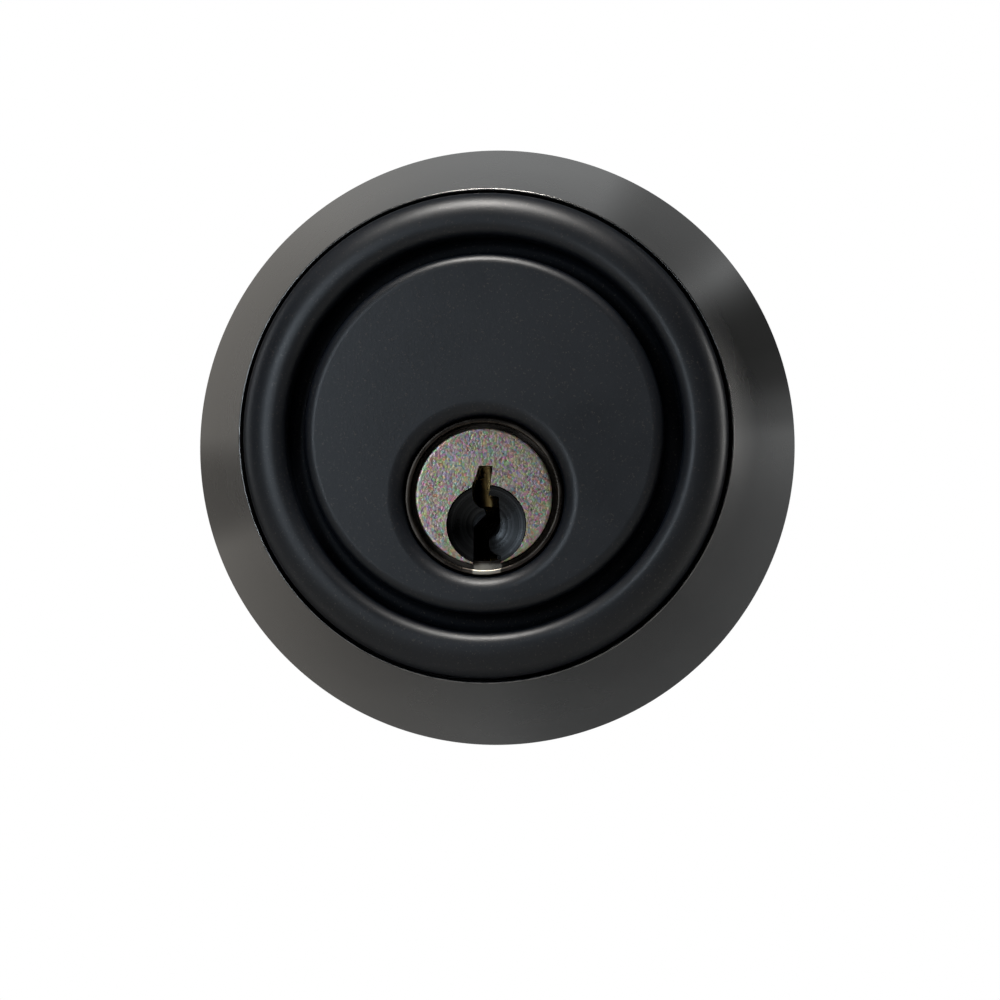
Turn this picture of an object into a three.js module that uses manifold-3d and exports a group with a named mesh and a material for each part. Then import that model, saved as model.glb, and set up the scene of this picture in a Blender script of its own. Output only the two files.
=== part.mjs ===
// A single-cylinder tubular deadbolt, as it sits in a door: the keyed outside cylinder, the bolt unit and the
// inside thumbturn. Millimetres, +Z up. The origin is where the axis of the door's cross bore (Y) meets the
// centre line of the bolt (+X, towards the door's edge). -Y is outdoors.
import * as THREE from "three";
import { mergeVertices } from "three/addons/utils/BufferGeometryUtils.js";
import Module from "manifold-3d";

const wasm = await Module();
wasm.setup();

// ---------------------------------------------------------------- the door that the lock is made for
const DOOR_THICKNESS = 44.5;
const BACKSET = 60;
const EDGE_BORE_RADIUS = 12.7;

// ---------------------------------------------------------------- clearances
const SEAT_GAP = 0.3; // between two faces that rest on each other
const RUN_GAP = 0.15; // around a shaft that turns, or a pin that slides
const THREAD_GAP = 0.25; // around a screw, whose thread isn't cut
const CHAMBER_GAP = 0.2; // round a pin in its chamber
const STACK_GAP = 0.1; // above each part of a pin stack
const BARREL_GAP = 0.2; // round the barrel in its bore
const PAST = 1; // how far a cut runs past the face that it starts from
const WELD = 0.2; // how far solids that are joined reach into each other

// ---------------------------------------------------------------- collar, ring and cylinder housing
const COLLAR_RADIUS = 32;
const COLLAR_HEIGHT = 16.8;
const COLLAR_WALL = 1.6;
const COLLAR_EDGE = 0.8; // straight edge where the cone meets the door
const COLLAR_LIP = 0.2; // radius of the front lip
const GUARD_RING_HEIGHT = 3;
const HEAD_RADIUS = 24.7;
const HEAD_HEIGHT = 20; // from the door to the front of the cylinder housing
const HEAD_COLLAR_GAP = 0.35;
const RING_WIDTH = 4.6; // the raised ring round the groove
const RING_OUTER_ROUND = 3;
const RING_INNER_ROUND = 1.4;
const GROOVE_WIDTH = 1.9;
const GROOVE_DEPTH = 4.5;
const DISC_ROUND = 1.5;
const MOUTH_ROUND = 1.5; // the edge that dips to the key cylinder
const FLANGE_GAP = 0.5; // between the flange and the inside of the collar
const FLANGE_THICKNESS = 2;
const WAVE_SPRING_ROOM = 2;
const WAVE_SPRING_WIRE = 0.4;
const WAVES = 4;
const BOSS_RADIUS = 12.8;
const BOSS_ROOF = 2; // metal over the pin stack
const BOSS_DEPTH = 7; // how far the boss reaches into the door
const POST_SPACING = 41.2;
const POST_RADIUS = 4.1;
const POST_DEPTH = 8;
const TAP_RUNOUT = 2; // tapped hole left beyond the screw's tip

// ---------------------------------------------------------------- key cylinder
const PLUG_DROP = 6.35; // the key turns this far below the centre of the collar
const PLUG_RADIUS = 6.35;
const PLUG_RIM = 0.6; // the plug's face stands out this far round its body
const PLUG_FACE_THICKNESS = 1.6;
const PLUG_FACE_HEIGHT = 18.7;
const PLUG_CHAMFER = 0.25;
const SHELL_WALL = 1.45;
const SHELL_HEIGHT = 19.1;
const SHELL_CHAMFER = 0.2;
const SHELL_MOUTH_GAP = 0.5; // round the plug's face
const DISH_RADIUS = 4.05; // the round finger dish that leads the key in
const DISH_DROP = 2.85;
const DISH_OFFSET = 0.25;
const DISH_DEPTH = 1.7;
const DISH_DRAFT = 0.1;
const PIN_PITCH = 3.96;
const FIRST_PIN = 6.2; // from the plug's face
const PIN_RADIUS = 1.4;
const KEY_PIN_STOP = 1.8; // the key pins hang this far below the plug's axis
const KEY_PIN_TIP = 1;
const KEY_PIN_POINT = 0.45; // radius of the flat at the tip
const KEY_PIN_BASE = 4.2;
const KEY_PIN_STEP = 0.38;
const BITTING = [5, 3, 6, 2, 4];
const DRIVER_LENGTH = 5.4;
const PIN_SPRING_LENGTH = 4.2;
const PIN_SPRING_WIRE = 0.3;
const PIN_SPRING_TURNS = 4;
const BIBLE_WIDTH = 7.6;
const BIBLE_FRONT = 16.6; // height above the door where the pin stack starts
const BIBLE_FOOT = 0.3; // from the bore up to where the pin stack's block starts
const COVER_THICKNESS = 0.5;
const COVER_INSET = 0.4;
const DRILL_PIN_RADIUS = 0.75;
const PLUG_DRILL_PIN_LENGTH = 6;
const PLUG_DRILL_PIN_COVER = 0.6; // metal between the pin and the plug's head
const PLUG_DRILL_PIN_DROP = 2; // from the top of the plug down to the pin's axis
const SHELL_DRILL_PIN_INSET = 1.2;
const SHELL_DRILL_PIN_FOOT = 1.6; // metal left under the pin
const NECK_STEP = 1.15; // from the plug's body down to its threaded neck
const NECK_LENGTH = 2.5;
const CAP_SIDE = 1.65;
const CAP_WALL = 1;
const CAP_NOTCH = 0.6;
const CAP_CHAMFER = 0.5;
const LUG_HEIGHT = 1;
const LUG_INNER = 2.4;
const LUG_OUTER = 4.6;
const LUG_ANGLE = 40; // degrees that each lost-motion lug takes up
const LUG_LEAD = 135; // degrees from the plug's lug to the tailpiece's
const RETAINER_THICKNESS = 1.2;
const RETAINER_SCREW_SPACING = 20.8;
const RETAINER_SCREW_RADIUS = 1;
const RETAINER_SCREW_HEAD = 1.9;
const RETAINER_SCREW_DEPTH = 8;
const RETAINER_SCREW_HEAD_HEIGHT = 1.1;
const RETAINER_SCREW_CHAMFER = 0.4;
const RETAINER_RING = 2.4;
const RETAINER_EAR = 2.4;

// ---------------------------------------------------------------- tailpiece, cam and bolt
const BLADE_HEIGHT = 6;
const BLADE_THICKNESS = 1.8;
const TAIL_HEAD = 1; // thickness of the round head that the cap holds
const TAIL_END_GAP = 1; // from the end of the blade to the inside of the rose
const BOLT_THROW = 25.4;
const CAM_SWEEP = 90; // degrees
const CAM_HUB_RADIUS = 4.2;
const CAM_HUB_STANDOUT = 0.2; // beyond each case half
const CAM_ARM_THICKNESS = 2.4;
const CAM_ARM_WIDTH = 4.6;
const CAM_PIN_RADIUS = 1.8;
const FORK_CLEARANCE = 0.75;
const FORK_PRONG = 3;
const TAIL_PLATE = 1.6;
const TAIL_BRIDGE = 3; // how far the joined part starts behind the bolt
const TAIL_LOW = 0;
const TAIL_HIGH = 6;
const FORK_TOP = 12;
const BOLT_RADIUS = 11.2;
const BOLT_WIDTH = 13.2;
const BOLT_LENGTH = 38;
const BOLT_NOSE_ROUND = 0.9;
const TONGUE_LENGTH = 8;
const TAIL_PIN_RADIUS = 1.5;
const TAIL_PIN_INSET = 0.1;
const SAW_PIN_RADIUS = 3;
const SAW_PIN_CHAMFER = 0.6;
const SAW_PIN_COVER = 2.6; // metal left in front of the hardened pin

// ---------------------------------------------------------------- bolt case and faceplate
const FACEPLATE_HEIGHT = 57.2;
const FACEPLATE_WIDTH = 25.4;
const FACEPLATE_THICKNESS = 2.8;
const FACEPLATE_CORNER = 6.4;
const BACKPLATE_THICKNESS = 1.5;
const BACKPLATE_INSET = 0.8;
const FACEPLATE_SCREW_SPACING = 41.3;
const FACEPLATE_SCREW_LENGTH = 19;
const FACEPLATE_SCREW_RADIUS = 2;
const FACEPLATE_SCREW_HEAD = 3.9;
const FACEPLATE_SCREW_SINK = 0.1; // from the plate's face in to the head
const FACEPLATE_SCREW_EDGE = 0.2;
const FACEPLATE_SCREW_CONE = 2.1;
const FACEPLATE_SCREW_TAPER = 4;
const FACEPLATE_SCREW_POINT = 0.4;
const FACEPLATE_CROSS = [0.9, 4.8, 1]; // width, span and depth of the recess
const BARREL_WALL = 0.9;
const BARREL_REAR = 19.5;
const BARREL_END = 1.5;
const CASE_REAR = 20; // how far the case runs behind the cam
const CASE_PLATE = 1.2;
const CASE_INSIDE = 11.2; // clear width between the two halves
const CASE_LOW = -10.2;
const CASE_HIGH = 9.2;
const CASE_BACK_TOP = -2;
const CASE_FLOOR_REAR = 8;
const CASE_TAB = 8;
const RIVET_RADIUS = 1.3;
const RIVET_HEAD = 2.1;
const RIVET_HEAD_HEIGHT = 0.6;
const RIVET_Z = -5.5;
const REAR_RIVET_INSET = 3.5;
const FRONT_RIVET_INSET = 4.5;
const DETENT_THICKNESS = 0.5;
const DETENT_WIDTH = 5;
const DETENT_TOP = -7.4;

// ---------------------------------------------------------------- inside rose and thumbturn
const PLATE_RADIUS = 29.5;
const PLATE_THICKNESS = 2;
const ROSE_RADIUS = 32;
const ROSE_FACE_RADIUS = 27;
const ROSE_HEIGHT = 11;
const ROSE_WALL = 1.6;
const ROSE_EDGE = 1;
const ROSE_ROUND = 2;
const SHAFT_RADIUS = 6;
const SHAFT_CHAMFER = 0.4;
const SHAFT_START = 1; // from the mounting plate to the end of the shaft
const BUSHING_WALL = 1;
const BUSHING_FLANGE = 2;
const CLIP_GROOVE = 1;
const CLIP_THICKNESS = 0.8;
const CLIP_RADIUS = 8.4;
const CLIP_OPENING = 4;
const CLIP_ROOM = 1; // round the clip, where it passes the mounting plate
const WASHER_ROOM = 0.9;
const WASHER_WIRE = 0.3;
const WASHER_INSET = 0.4;
const WASHER_WAVES = 3;
const KNOB_BASE_RADIUS = 10;
const KNOB_BASE_HEIGHT = 3.6;
const KNOB_BASE_CHAMFER = 1.2;
const KNOB_FOOT = 2; // from the base's rim in to the wing
const KNOB_SPAN = 31;
const KNOB_REACH = 23; // from the rose to the end of the wing
const KNOB_TIP_THICKNESS = 8;
const KNOB_TIP_ROUND = 2;
const KNOB_TIP_EDGE = 3; // from the end of the wing to where it is thickest
const KNOB_END_ROUND = 7;
const KNOB_END = 10; // from the end of the wing to where it is widest
const KNOB_WAIST = 5.4;
const KNOB_WAIST_HEIGHT = 6;
const SCREW_RADIUS = 2.35;
const SCREW_HEAD_RADIUS = 4.4;
const SCREW_HEAD_HEIGHT = 2.2;
const SCREW_HEAD_EDGE = 0.7;
const SCREW_CHAMFER = 0.6;
const SCREW_CROSS = [1.2, 4.6, 1.4]; // width, span and depth of the recess
const SCREW_BITE = 8; // thread inside the post

// ---------------------------------------------------------------- worked out from the sizes above
const OUTSIDE = -DOOR_THICKNESS / 2; // y of the door's outer face
const INSIDE = DOOR_THICKNESS / 2;
const FLANGE_HEIGHT = GUARD_RING_HEIGHT + WAVE_SPRING_ROOM;
const COLLAR_MOUTH = HEAD_RADIUS + HEAD_COLLAR_GAP;
const COLLAR_SLOPE = Math.atan2(COLLAR_RADIUS - COLLAR_MOUTH - COLLAR_LIP, COLLAR_HEIGHT - COLLAR_EDGE);
const FLANGE_RADIUS = collarInside(FLANGE_HEIGHT + FLANGE_THICKNESS) - FLANGE_GAP;
const GUARD_RING_INNER = POST_SPACING / 2 + POST_RADIUS + SEAT_GAP;
const BORE_RADIUS = PLUG_RADIUS + RUN_GAP;
const SHELL_RADIUS = BORE_RADIUS + SHELL_WALL;
const MOUTH_RADIUS = SHELL_RADIUS + RUN_GAP;
const PLUG_FACE_RADIUS = PLUG_RADIUS + PLUG_RIM;
const SHELL_MOUTH_RADIUS = PLUG_FACE_RADIUS + SHELL_MOUTH_GAP;
const NECK_RADIUS = PLUG_RADIUS - NECK_STEP;
const CAP_RADIUS = NECK_RADIUS + THREAD_GAP + CAP_SIDE;
const RETAINER_RADIUS = CAP_RADIUS + SEAT_GAP + RETAINER_RING;
const CHAMBER_RADIUS = PIN_RADIUS + CHAMBER_GAP;
const DRIVER_REST = BORE_RADIUS + STACK_GAP / 2;
const SPRING_BOTTOM = DRIVER_REST + DRIVER_LENGTH + STACK_GAP;
const BIBLE_TOP = SPRING_BOTTOM + PIN_SPRING_LENGTH + STACK_GAP;
const SHELL_REAR = OUTSIDE + BOSS_DEPTH;
const CAP_FRONT = SHELL_REAR + RUN_GAP;
const NECK_END = CAP_FRONT + NECK_LENGTH;
const TAIL_HEAD_FRONT = NECK_END + LUG_HEIGHT + RUN_GAP * 2;
const CAP_REAR = TAIL_HEAD_FRONT + TAIL_HEAD + RUN_GAP + CAP_WALL;
const CAM_ARM = BOLT_THROW / 2 / Math.sin(THREE.MathUtils.degToRad(CAM_SWEEP / 2));
const CAM_REST_X = -BOLT_THROW / 2;
const CAM_PIN_Z = -PLUG_DROP + CAM_ARM * Math.cos(THREE.MathUtils.degToRad(CAM_SWEEP / 2));
const TAIL_GAP = CAM_ARM_THICKNESS / 2 + SEAT_GAP;
const FACEPLATE_BACK = BACKSET - FACEPLATE_THICKNESS;
const BACKPLATE_FRONT = FACEPLATE_BACK - SEAT_GAP;
const BACKPLATE_BACK = BACKPLATE_FRONT - BACKPLATE_THICKNESS;
const BARREL_RADIUS = EDGE_BORE_RADIUS - BARREL_GAP;
const BARREL_FRONT = BACKPLATE_BACK - SEAT_GAP;
const BOLT_REAR = BACKSET - BOLT_LENGTH;
const ROSE_FACE = INSIDE + ROSE_HEIGHT;
const SCREW_TIP = OUTSIDE + POST_DEPTH - SCREW_BITE;
const SLOT_HALF_HEIGHT = BLADE_HEIGHT / 2 + RUN_GAP;
const SLOT_HALF_THICKNESS = BLADE_THICKNESS / 2 + RUN_GAP;

const FINE = 40; // sides of the largest rounds, and on down to the smallest
const LARGE = 32;
const ROUND = 24;
const MEDIUM = 16;
const SMALL = 12;
const TINY = 8;

// ---------------------------------------------------------------- finishes
const finish = (color, roughness, metalness) => new THREE.MeshStandardMaterial({ color, roughness, metalness });
const SATIN_BLACK = finish(0x4a4a49, 0.35, 0.4);
const POWDER_BLACK = finish(0x24282b, 0.6, 0);
const NICKEL = finish(0x9a958c, 0.4, 1);
const BRASS = finish(0xb08d4a, 0.35, 1);
const STEEL = finish(0x8d8f90, 0.35, 1);
const ZINC_STEEL = finish(0xa9abac, 0.3, 1);
const HARD_STEEL = finish(0x55585a, 0.3, 1);
const NYLON = finish(0xe4e0d4, 0.5, 0);

// ---------------------------------------------------------------- making and joining solids
// A closed geometry as a solid: shared vertices are merged and collapsed triangles dropped.
function solid(geometry) {
  const bare = new THREE.BufferGeometry().setAttribute("position", geometry.getAttribute("position"));
  if (geometry.index) bare.setIndex(geometry.index);
  const merged = mergeVertices(bare, 1e-4);
  const kept = [];
  for (let i = 0; i < merged.index.count; i += 3) {
    const [a, b, c] = [0, 1, 2].map((k) => merged.index.getX(i + k));
    if (a !== b && b !== c && a !== c) kept.push(a, b, c);
  }
  const mesh = { numProp: 3, vertProperties: merged.attributes.position.array, triVerts: new Uint32Array(kept) };
  return new wasm.Manifold(new wasm.Mesh(mesh));
}

const join = (...solids) => solids.reduce((all, next) => all.add(next));

// Points along a round stretch, from one angle to another in degrees.
function arc(centreX, centreY, radius, from, to, steps = 4) {
  return Array.from({ length: steps + 1 }, (_, i) => {
    const angle = THREE.MathUtils.degToRad(from + ((to - from) * i) / steps);
    return [centreX + radius * Math.cos(angle), centreY + radius * Math.sin(angle)];
  });
}

// A solid turned about Y from the closed outline [radius, y].
function turned(outline, sides) {
  const points = outline.map(([radius, y]) => new THREE.Vector2(Math.max(radius, 0), y));
  if (THREE.ShapeUtils.area(points) < 0) points.reverse();
  points.push(points[0].clone());
  return solid(new THREE.LatheGeometry(points, sides));
}

const rod = (radius, from, to, sides = ROUND) =>
  turned([[0, from], [radius, from], [radius, to], [0, to]], sides);

const tube = (inner, outer, from, to, sides = ROUND) =>
  turned([[inner, from], [outer, from], [outer, to], [inner, to]], sides);

function block(x0, x1, y0, y1, z0, z1) {
  const box = new THREE.BoxGeometry(x1 - x0, y1 - y0, z1 - z0);
  return solid(box.translate((x0 + x1) / 2, (y0 + y1) / 2, (z0 + z1) / 2));
}

// The closed outline [x, z] carried along Y.
function prism(outline, from, to) {
  const shape = new THREE.Shape(outline.map(([x, z]) => new THREE.Vector2(x, z)));
  const geometry = new THREE.ExtrudeGeometry(shape, { depth: to - from, bevelEnabled: false });
  return solid(geometry.rotateX(Math.PI / 2).translate(0, to, 0));
}

// What was made about Y, laid along X or stood along Z.
const alongX = (made) => made.rotate([0, 0, -90]);
const alongZ = (made) => made.rotate([90, 0, 0]);
const onPlugAxis = (made) => made.translate([0, 0, -PLUG_DROP]);
const atEars = (made) => [-1, 1].map((side) => made.translate([(side * RETAINER_SCREW_SPACING) / 2, 0, 0]));
const atPosts = (made) => [-1, 1].map((side) => made.translate([0, 0, (side * POST_SPACING) / 2]));

// The cross-shaped recess of a screw along Y.
function crossRecess(width, span, from, to) {
  const slot = block(-width / 2, width / 2, from, to, -span / 2, span / 2);
  return join(slot, slot.rotate([0, 90, 0]));
}

const lock = new THREE.Group();

function add(name, made, material) {
  const mesh = made.getMesh();
  const geometry = new THREE.BufferGeometry();
  geometry.setAttribute("position", new THREE.BufferAttribute(mesh.vertProperties, 3));
  geometry.setIndex(new THREE.BufferAttribute(mesh.triVerts, 1));
  const part = new THREE.Mesh(geometry, material);
  part.name = name;
  lock.add(part);
}

// A wave washer: a flat ring of square wire whose height follows a cosine round the axis.
function waveRing(inner, outer, wire, from, to, waves, sides) {
  const middle = (from + to) / 2;
  const rise = (to - from - wire) / 2;
  const ring = tube(inner, outer, -wire / 2, wire / 2, sides);
  return ring.warp((p) => {
    p[1] += middle + rise * Math.cos(waves * Math.atan2(p[2], p[0]));
  });
}

// ---------------------------------------------------------------- outside: collar and housing
// Radius of the collar's inner cone at a height above the door, and the height where it has a radius.
function collarInside(height) {
  return COLLAR_RADIUS - (height - COLLAR_EDGE) * Math.tan(COLLAR_SLOPE) - COLLAR_WALL / Math.cos(COLLAR_SLOPE);
}

function collarHeightAt(radius) {
  return COLLAR_EDGE + (collarInside(COLLAR_EDGE) - radius) / Math.tan(COLLAR_SLOPE);
}

const fromDoor = (outline) => outline.map(([radius, height]) => [radius, OUTSIDE - height]);

// The free-spinning cone. Its lip stands behind the flange of the housing, so that it can't be pulled off.
function outerCollar() {
  const mouth = COLLAR_MOUTH;
  const lip = arc(mouth + COLLAR_LIP, COLLAR_HEIGHT - COLLAR_LIP, COLLAR_LIP, 45, 180, 5);
  const outline = [
    [COLLAR_RADIUS - COLLAR_WALL, 0],
    [COLLAR_RADIUS, 0],
    [COLLAR_RADIUS, COLLAR_EDGE],
    ...lip,
    [mouth, collarHeightAt(mouth)],
    [collarInside(COLLAR_EDGE), COLLAR_EDGE],
  ];
  add("outer_collar", turned(fromDoor(outline), FINE), SATIN_BLACK);
}

function guardRing() {
  const outer = collarInside(GUARD_RING_HEIGHT) - SEAT_GAP;
  add("guard_ring", tube(GUARD_RING_INNER, outer, OUTSIDE - GUARD_RING_HEIGHT, OUTSIDE, FINE), HARD_STEEL);
}

function collarSpring() {
  const low = OUTSIDE - FLANGE_HEIGHT + SEAT_GAP;
  const high = OUTSIDE - GUARD_RING_HEIGHT - SEAT_GAP;
  const ring = waveRing(GUARD_RING_INNER, FLANGE_RADIUS, WAVE_SPRING_WIRE, low, high, WAVES, FINE);
  add("collar_spring", ring, STEEL);
}

// The outline of the hole that the key cylinder fills: its round shell with the pin stack above it.
function stackOutline(radius, halfWidth, top) {
  const start = THREE.MathUtils.radToDeg(Math.acos(halfWidth / radius));
  return [[halfWidth, top], [-halfWidth, top], ...arc(0, 0, radius, 180 - start, 360 + start, 20)];
}

function cylinderHousing() {
  const discRadius = HEAD_RADIUS - RING_WIDTH - GROOVE_WIDTH;
  const ringInner = HEAD_RADIUS - RING_WIDTH;
  const floor = HEAD_HEIGHT - GROOVE_DEPTH;
  const outline = [
    [0, FLANGE_HEIGHT],
    [FLANGE_RADIUS, FLANGE_HEIGHT],
    [FLANGE_RADIUS, FLANGE_HEIGHT + FLANGE_THICKNESS],
    [HEAD_RADIUS, FLANGE_HEIGHT + FLANGE_THICKNESS],
    ...arc(HEAD_RADIUS - RING_OUTER_ROUND, HEAD_HEIGHT - RING_OUTER_ROUND, RING_OUTER_ROUND, 0, 90, 5),
    ...arc(ringInner + RING_INNER_ROUND, HEAD_HEIGHT - RING_INNER_ROUND, RING_INNER_ROUND, 90, 180, 3),
    [ringInner, floor],
    [discRadius, floor],
    ...arc(discRadius - DISC_ROUND, HEAD_HEIGHT - DISC_ROUND, DISC_ROUND, 0, 90, 3),
    [0, HEAD_HEIGHT],
  ];
  const head = turned(fromDoor(outline), FINE);
  const rear = OUTSIDE + BOSS_DEPTH;
  const inHead = OUTSIDE - FLANGE_HEIGHT - WELD;
  const roof = BIBLE_TOP + COVER_THICKNESS + SEAT_GAP + BOSS_ROOF;
  const boss = onPlugAxis(prism(stackOutline(BOSS_RADIUS, BIBLE_WIDTH / 2 + BOSS_ROOF, roof), inHead, rear));
  const posts = atPosts(rod(POST_RADIUS, inHead, OUTSIDE + POST_DEPTH, MEDIUM));
  const tapped = screwHoles(SCREW_TIP - TAP_RUNOUT, OUTSIDE + POST_DEPTH + PAST);
  const mouth = onPlugAxis(
    turned(
      fromDoor([
        [0, -BOSS_DEPTH - PAST],
        [MOUTH_RADIUS, -BOSS_DEPTH - PAST],
        ...arc(MOUTH_RADIUS + MOUTH_ROUND, HEAD_HEIGHT - MOUTH_ROUND, MOUTH_ROUND, 180, 90, 4),
        [MOUTH_RADIUS + MOUTH_ROUND, HEAD_HEIGHT + PAST],
        [0, HEAD_HEIGHT + PAST],
      ]),
      ROUND,
    ),
  );
  const stackRoof = BIBLE_TOP + COVER_THICKNESS + SEAT_GAP;
  const stackHalf = BIBLE_WIDTH / 2 + SEAT_GAP;
  const pocket = onPlugAxis(
    block(-stackHalf, stackHalf, OUTSIDE - BIBLE_FRONT - SEAT_GAP, rear + PAST, 0, stackRoof),
  );
  const retainerHoles = retainerScrewHoles(rear - RETAINER_SCREW_DEPTH - PAST, rear + PAST);
  const cuts = join(mouth, pocket, ...tapped, ...retainerHoles.map(onPlugAxis));
  add("cylinder_housing", join(head, boss, ...posts).subtract(cuts), POWDER_BLACK);
}

// ---------------------------------------------------------------- key cylinder
const pinY = (index) => OUTSIDE - PLUG_FACE_HEIGHT + FIRST_PIN + index * PIN_PITCH;

// The warded slot, seen from outdoors with the plug's axis at 0, 0. It opens through the bottom of the plug.
function keywayOutline() {
  const open = -PLUG_FACE_RADIUS - PAST;
  return [
    [-0.5, 3.1],
    [0.9, 3.1],
    [0.7, 1.25],
    [0.4, 0.15],
    [1.45, 0],
    [1.6, -2.5],
    ...arc(1.6, -4.75, 1.15, 116, 244, 5),
    [1.7, -6],
    [1.7, open],
    [-1.1, open],
    [-1.1, -3],
    [0.15, -1.75],
    ...arc(0.1, 0.1, 1.3, 263, 180, 4),
    [-1.2, 1.2],
    [-0.85, 1.95],
  ];
}

function drillPinY() {
  return OUTSIDE - PLUG_FACE_HEIGHT + PLUG_FACE_THICKNESS + DRILL_PIN_RADIUS + PLUG_DRILL_PIN_COVER;
}

function plug() {
  const face = OUTSIDE - PLUG_FACE_HEIGHT;
  const body = turned(
    [
      [0, face],
      [PLUG_FACE_RADIUS - PLUG_CHAMFER, face],
      [PLUG_FACE_RADIUS, face + PLUG_CHAMFER],
      [PLUG_FACE_RADIUS, face + PLUG_FACE_THICKNESS],
      [PLUG_RADIUS, face + PLUG_FACE_THICKNESS],
      [PLUG_RADIUS, SHELL_REAR],
      [NECK_RADIUS, SHELL_REAR],
      [NECK_RADIUS, NECK_END],
      [0, NECK_END],
    ],
    ROUND,
  );
  const dish = turned(
    [
      [0, face - PAST],
      [DISH_RADIUS, face - PAST],
      [DISH_RADIUS, face],
      [DISH_RADIUS - DISH_DRAFT, face + DISH_DEPTH / 3],
      [0, face + DISH_DEPTH],
    ],
    ROUND,
  ).translate([DISH_OFFSET, 0, -DISH_DROP]);
  const keyway = prism(keywayOutline(), face - PAST, SHELL_REAR - PAST);
  const chambers = BITTING.map((_, i) =>
    alongZ(rod(CHAMBER_RADIUS, -KEY_PIN_STOP - RUN_GAP, PLUG_RADIUS + PAST, TINY)).translate([0, pinY(i), 0]),
  );
  const pinHalf = PLUG_DRILL_PIN_LENGTH / 2;
  const pinAt = [0, drillPinY(), PLUG_RADIUS - PLUG_DRILL_PIN_DROP];
  const hole = rod(DRILL_PIN_RADIUS + RUN_GAP, -pinHalf - RUN_GAP, PLUG_RADIUS + PAST, TINY);
  const drillHole = alongX(hole).translate(pinAt);
  const made = join(body, lug(0, NECK_END - WELD, NECK_END + LUG_HEIGHT));
  add("plug", onPlugAxis(made.subtract(join(dish, keyway, drillHole, ...chambers))), NICKEL);
  const drillPin = alongX(rod(DRILL_PIN_RADIUS, -pinHalf, pinHalf, TINY));
  add("plug_drill_pin", onPlugAxis(drillPin.translate(pinAt)), HARD_STEEL);
}

// One of the two lost-motion lugs, a sector of a ring about the plug's axis.
function lug(turn, from, to) {
  const outline = [
    ...arc(0, 0, LUG_OUTER, turn - LUG_ANGLE / 2, turn + LUG_ANGLE / 2, 3),
    ...arc(0, 0, LUG_INNER, turn + LUG_ANGLE / 2, turn - LUG_ANGLE / 2, 3),
  ];
  return prism(outline, from, to);
}

function cylinderCap() {
  const hole = Math.hypot(BLADE_HEIGHT, BLADE_THICKNESS) / 2 + RUN_GAP * 2;
  const room = NECK_RADIUS + THREAD_GAP;
  const cap = turned(
    [
      [room, CAP_FRONT],
      [CAP_RADIUS, CAP_FRONT],
      [CAP_RADIUS, CAP_REAR - CAP_CHAMFER],
      [CAP_RADIUS - CAP_CHAMFER, CAP_REAR],
      [hole, CAP_REAR],
      [hole, CAP_REAR - CAP_WALL],
      [room, CAP_REAR - CAP_WALL],
    ],
    ROUND,
  );
  const [near, far] = [CAP_RADIUS - CAP_NOTCH, CAP_RADIUS + PAST];
  const notch = block(near, far, CAP_FRONT - PAST, CAP_REAR + PAST, -CAP_NOTCH, CAP_NOTCH);
  const notches = [45, 135, 225, 315].map((turn) => notch.rotate([0, turn, 0]));
  add("cylinder_cap", onPlugAxis(cap.subtract(join(...notches))), BRASS);
}

function cylinderShell() {
  const mouth = OUTSIDE - SHELL_HEIGHT;
  const seat = OUTSIDE - PLUG_FACE_HEIGHT + PLUG_FACE_THICKNESS + RUN_GAP;
  const sleeve = turned(
    [
      [BORE_RADIUS, seat],
      [SHELL_MOUTH_RADIUS, seat],
      [SHELL_MOUTH_RADIUS, mouth + SHELL_CHAMFER],
      [SHELL_MOUTH_RADIUS + SHELL_CHAMFER, mouth],
      [SHELL_RADIUS - SHELL_CHAMFER / 2, mouth],
      [SHELL_RADIUS, mouth + SHELL_CHAMFER / 2],
      [SHELL_RADIUS, SHELL_REAR],
      [BORE_RADIUS, SHELL_REAR],
    ],
    ROUND,
  );
  const bibleFront = OUTSIDE - BIBLE_FRONT;
  const half = BIBLE_WIDTH / 2;
  const bible = block(-half, half, bibleFront, SHELL_REAR, BORE_RADIUS + BIBLE_FOOT, BIBLE_TOP);
  const chambers = BITTING.map((_, i) =>
    alongZ(rod(CHAMBER_RADIUS, 0, BIBLE_TOP + PAST, TINY)).translate([0, pinY(i), 0]),
  );
  const drillPin = (from, to, gap) =>
    alongZ(rod(DRILL_PIN_RADIUS + gap, from, to, TINY)).translate([0, bibleFront + SHELL_DRILL_PIN_INSET, 0]);
  const foot = BORE_RADIUS + SHELL_DRILL_PIN_FOOT;
  const made = join(sleeve, bible).subtract(join(...chambers, drillPin(foot, BIBLE_TOP + PAST, RUN_GAP)));
  add("cylinder_shell", onPlugAxis(made), BRASS);
  add("shell_drill_pin", onPlugAxis(drillPin(foot + RUN_GAP, BIBLE_TOP - RUN_GAP, 0)), HARD_STEEL);
  const low = BIBLE_TOP + RUN_GAP;
  const cover = block(
    -half + COVER_INSET,
    half - COVER_INSET,
    bibleFront + COVER_INSET,
    SHELL_REAR - COVER_INSET,
    low,
    low + COVER_THICKNESS,
  );
  add("spring_cover", onPlugAxis(cover), BRASS);
}

// A compression spring, its wire three-sided, that stands on z = 0.
function coilSpring(radius, wire, length, turns) {
  const rise = length - wire;
  const steps = turns * TINY;
  const points = Array.from({ length: steps + 1 }, (_, i) => {
    const angle = (i / TINY) * 2 * Math.PI;
    return new THREE.Vector3(radius * Math.cos(angle), radius * Math.sin(angle), wire / 2 + (rise * i) / steps);
  });
  const section = new THREE.Shape(arc(0, 0, wire / 2, 0, 240, 2).map(([x, y]) => new THREE.Vector2(x, y)));
  const path = new THREE.CatmullRomCurve3(points);
  const geometry = new THREE.ExtrudeGeometry(section, { steps, extrudePath: path, bevelEnabled: false });
  return solid(geometry);
}

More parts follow.
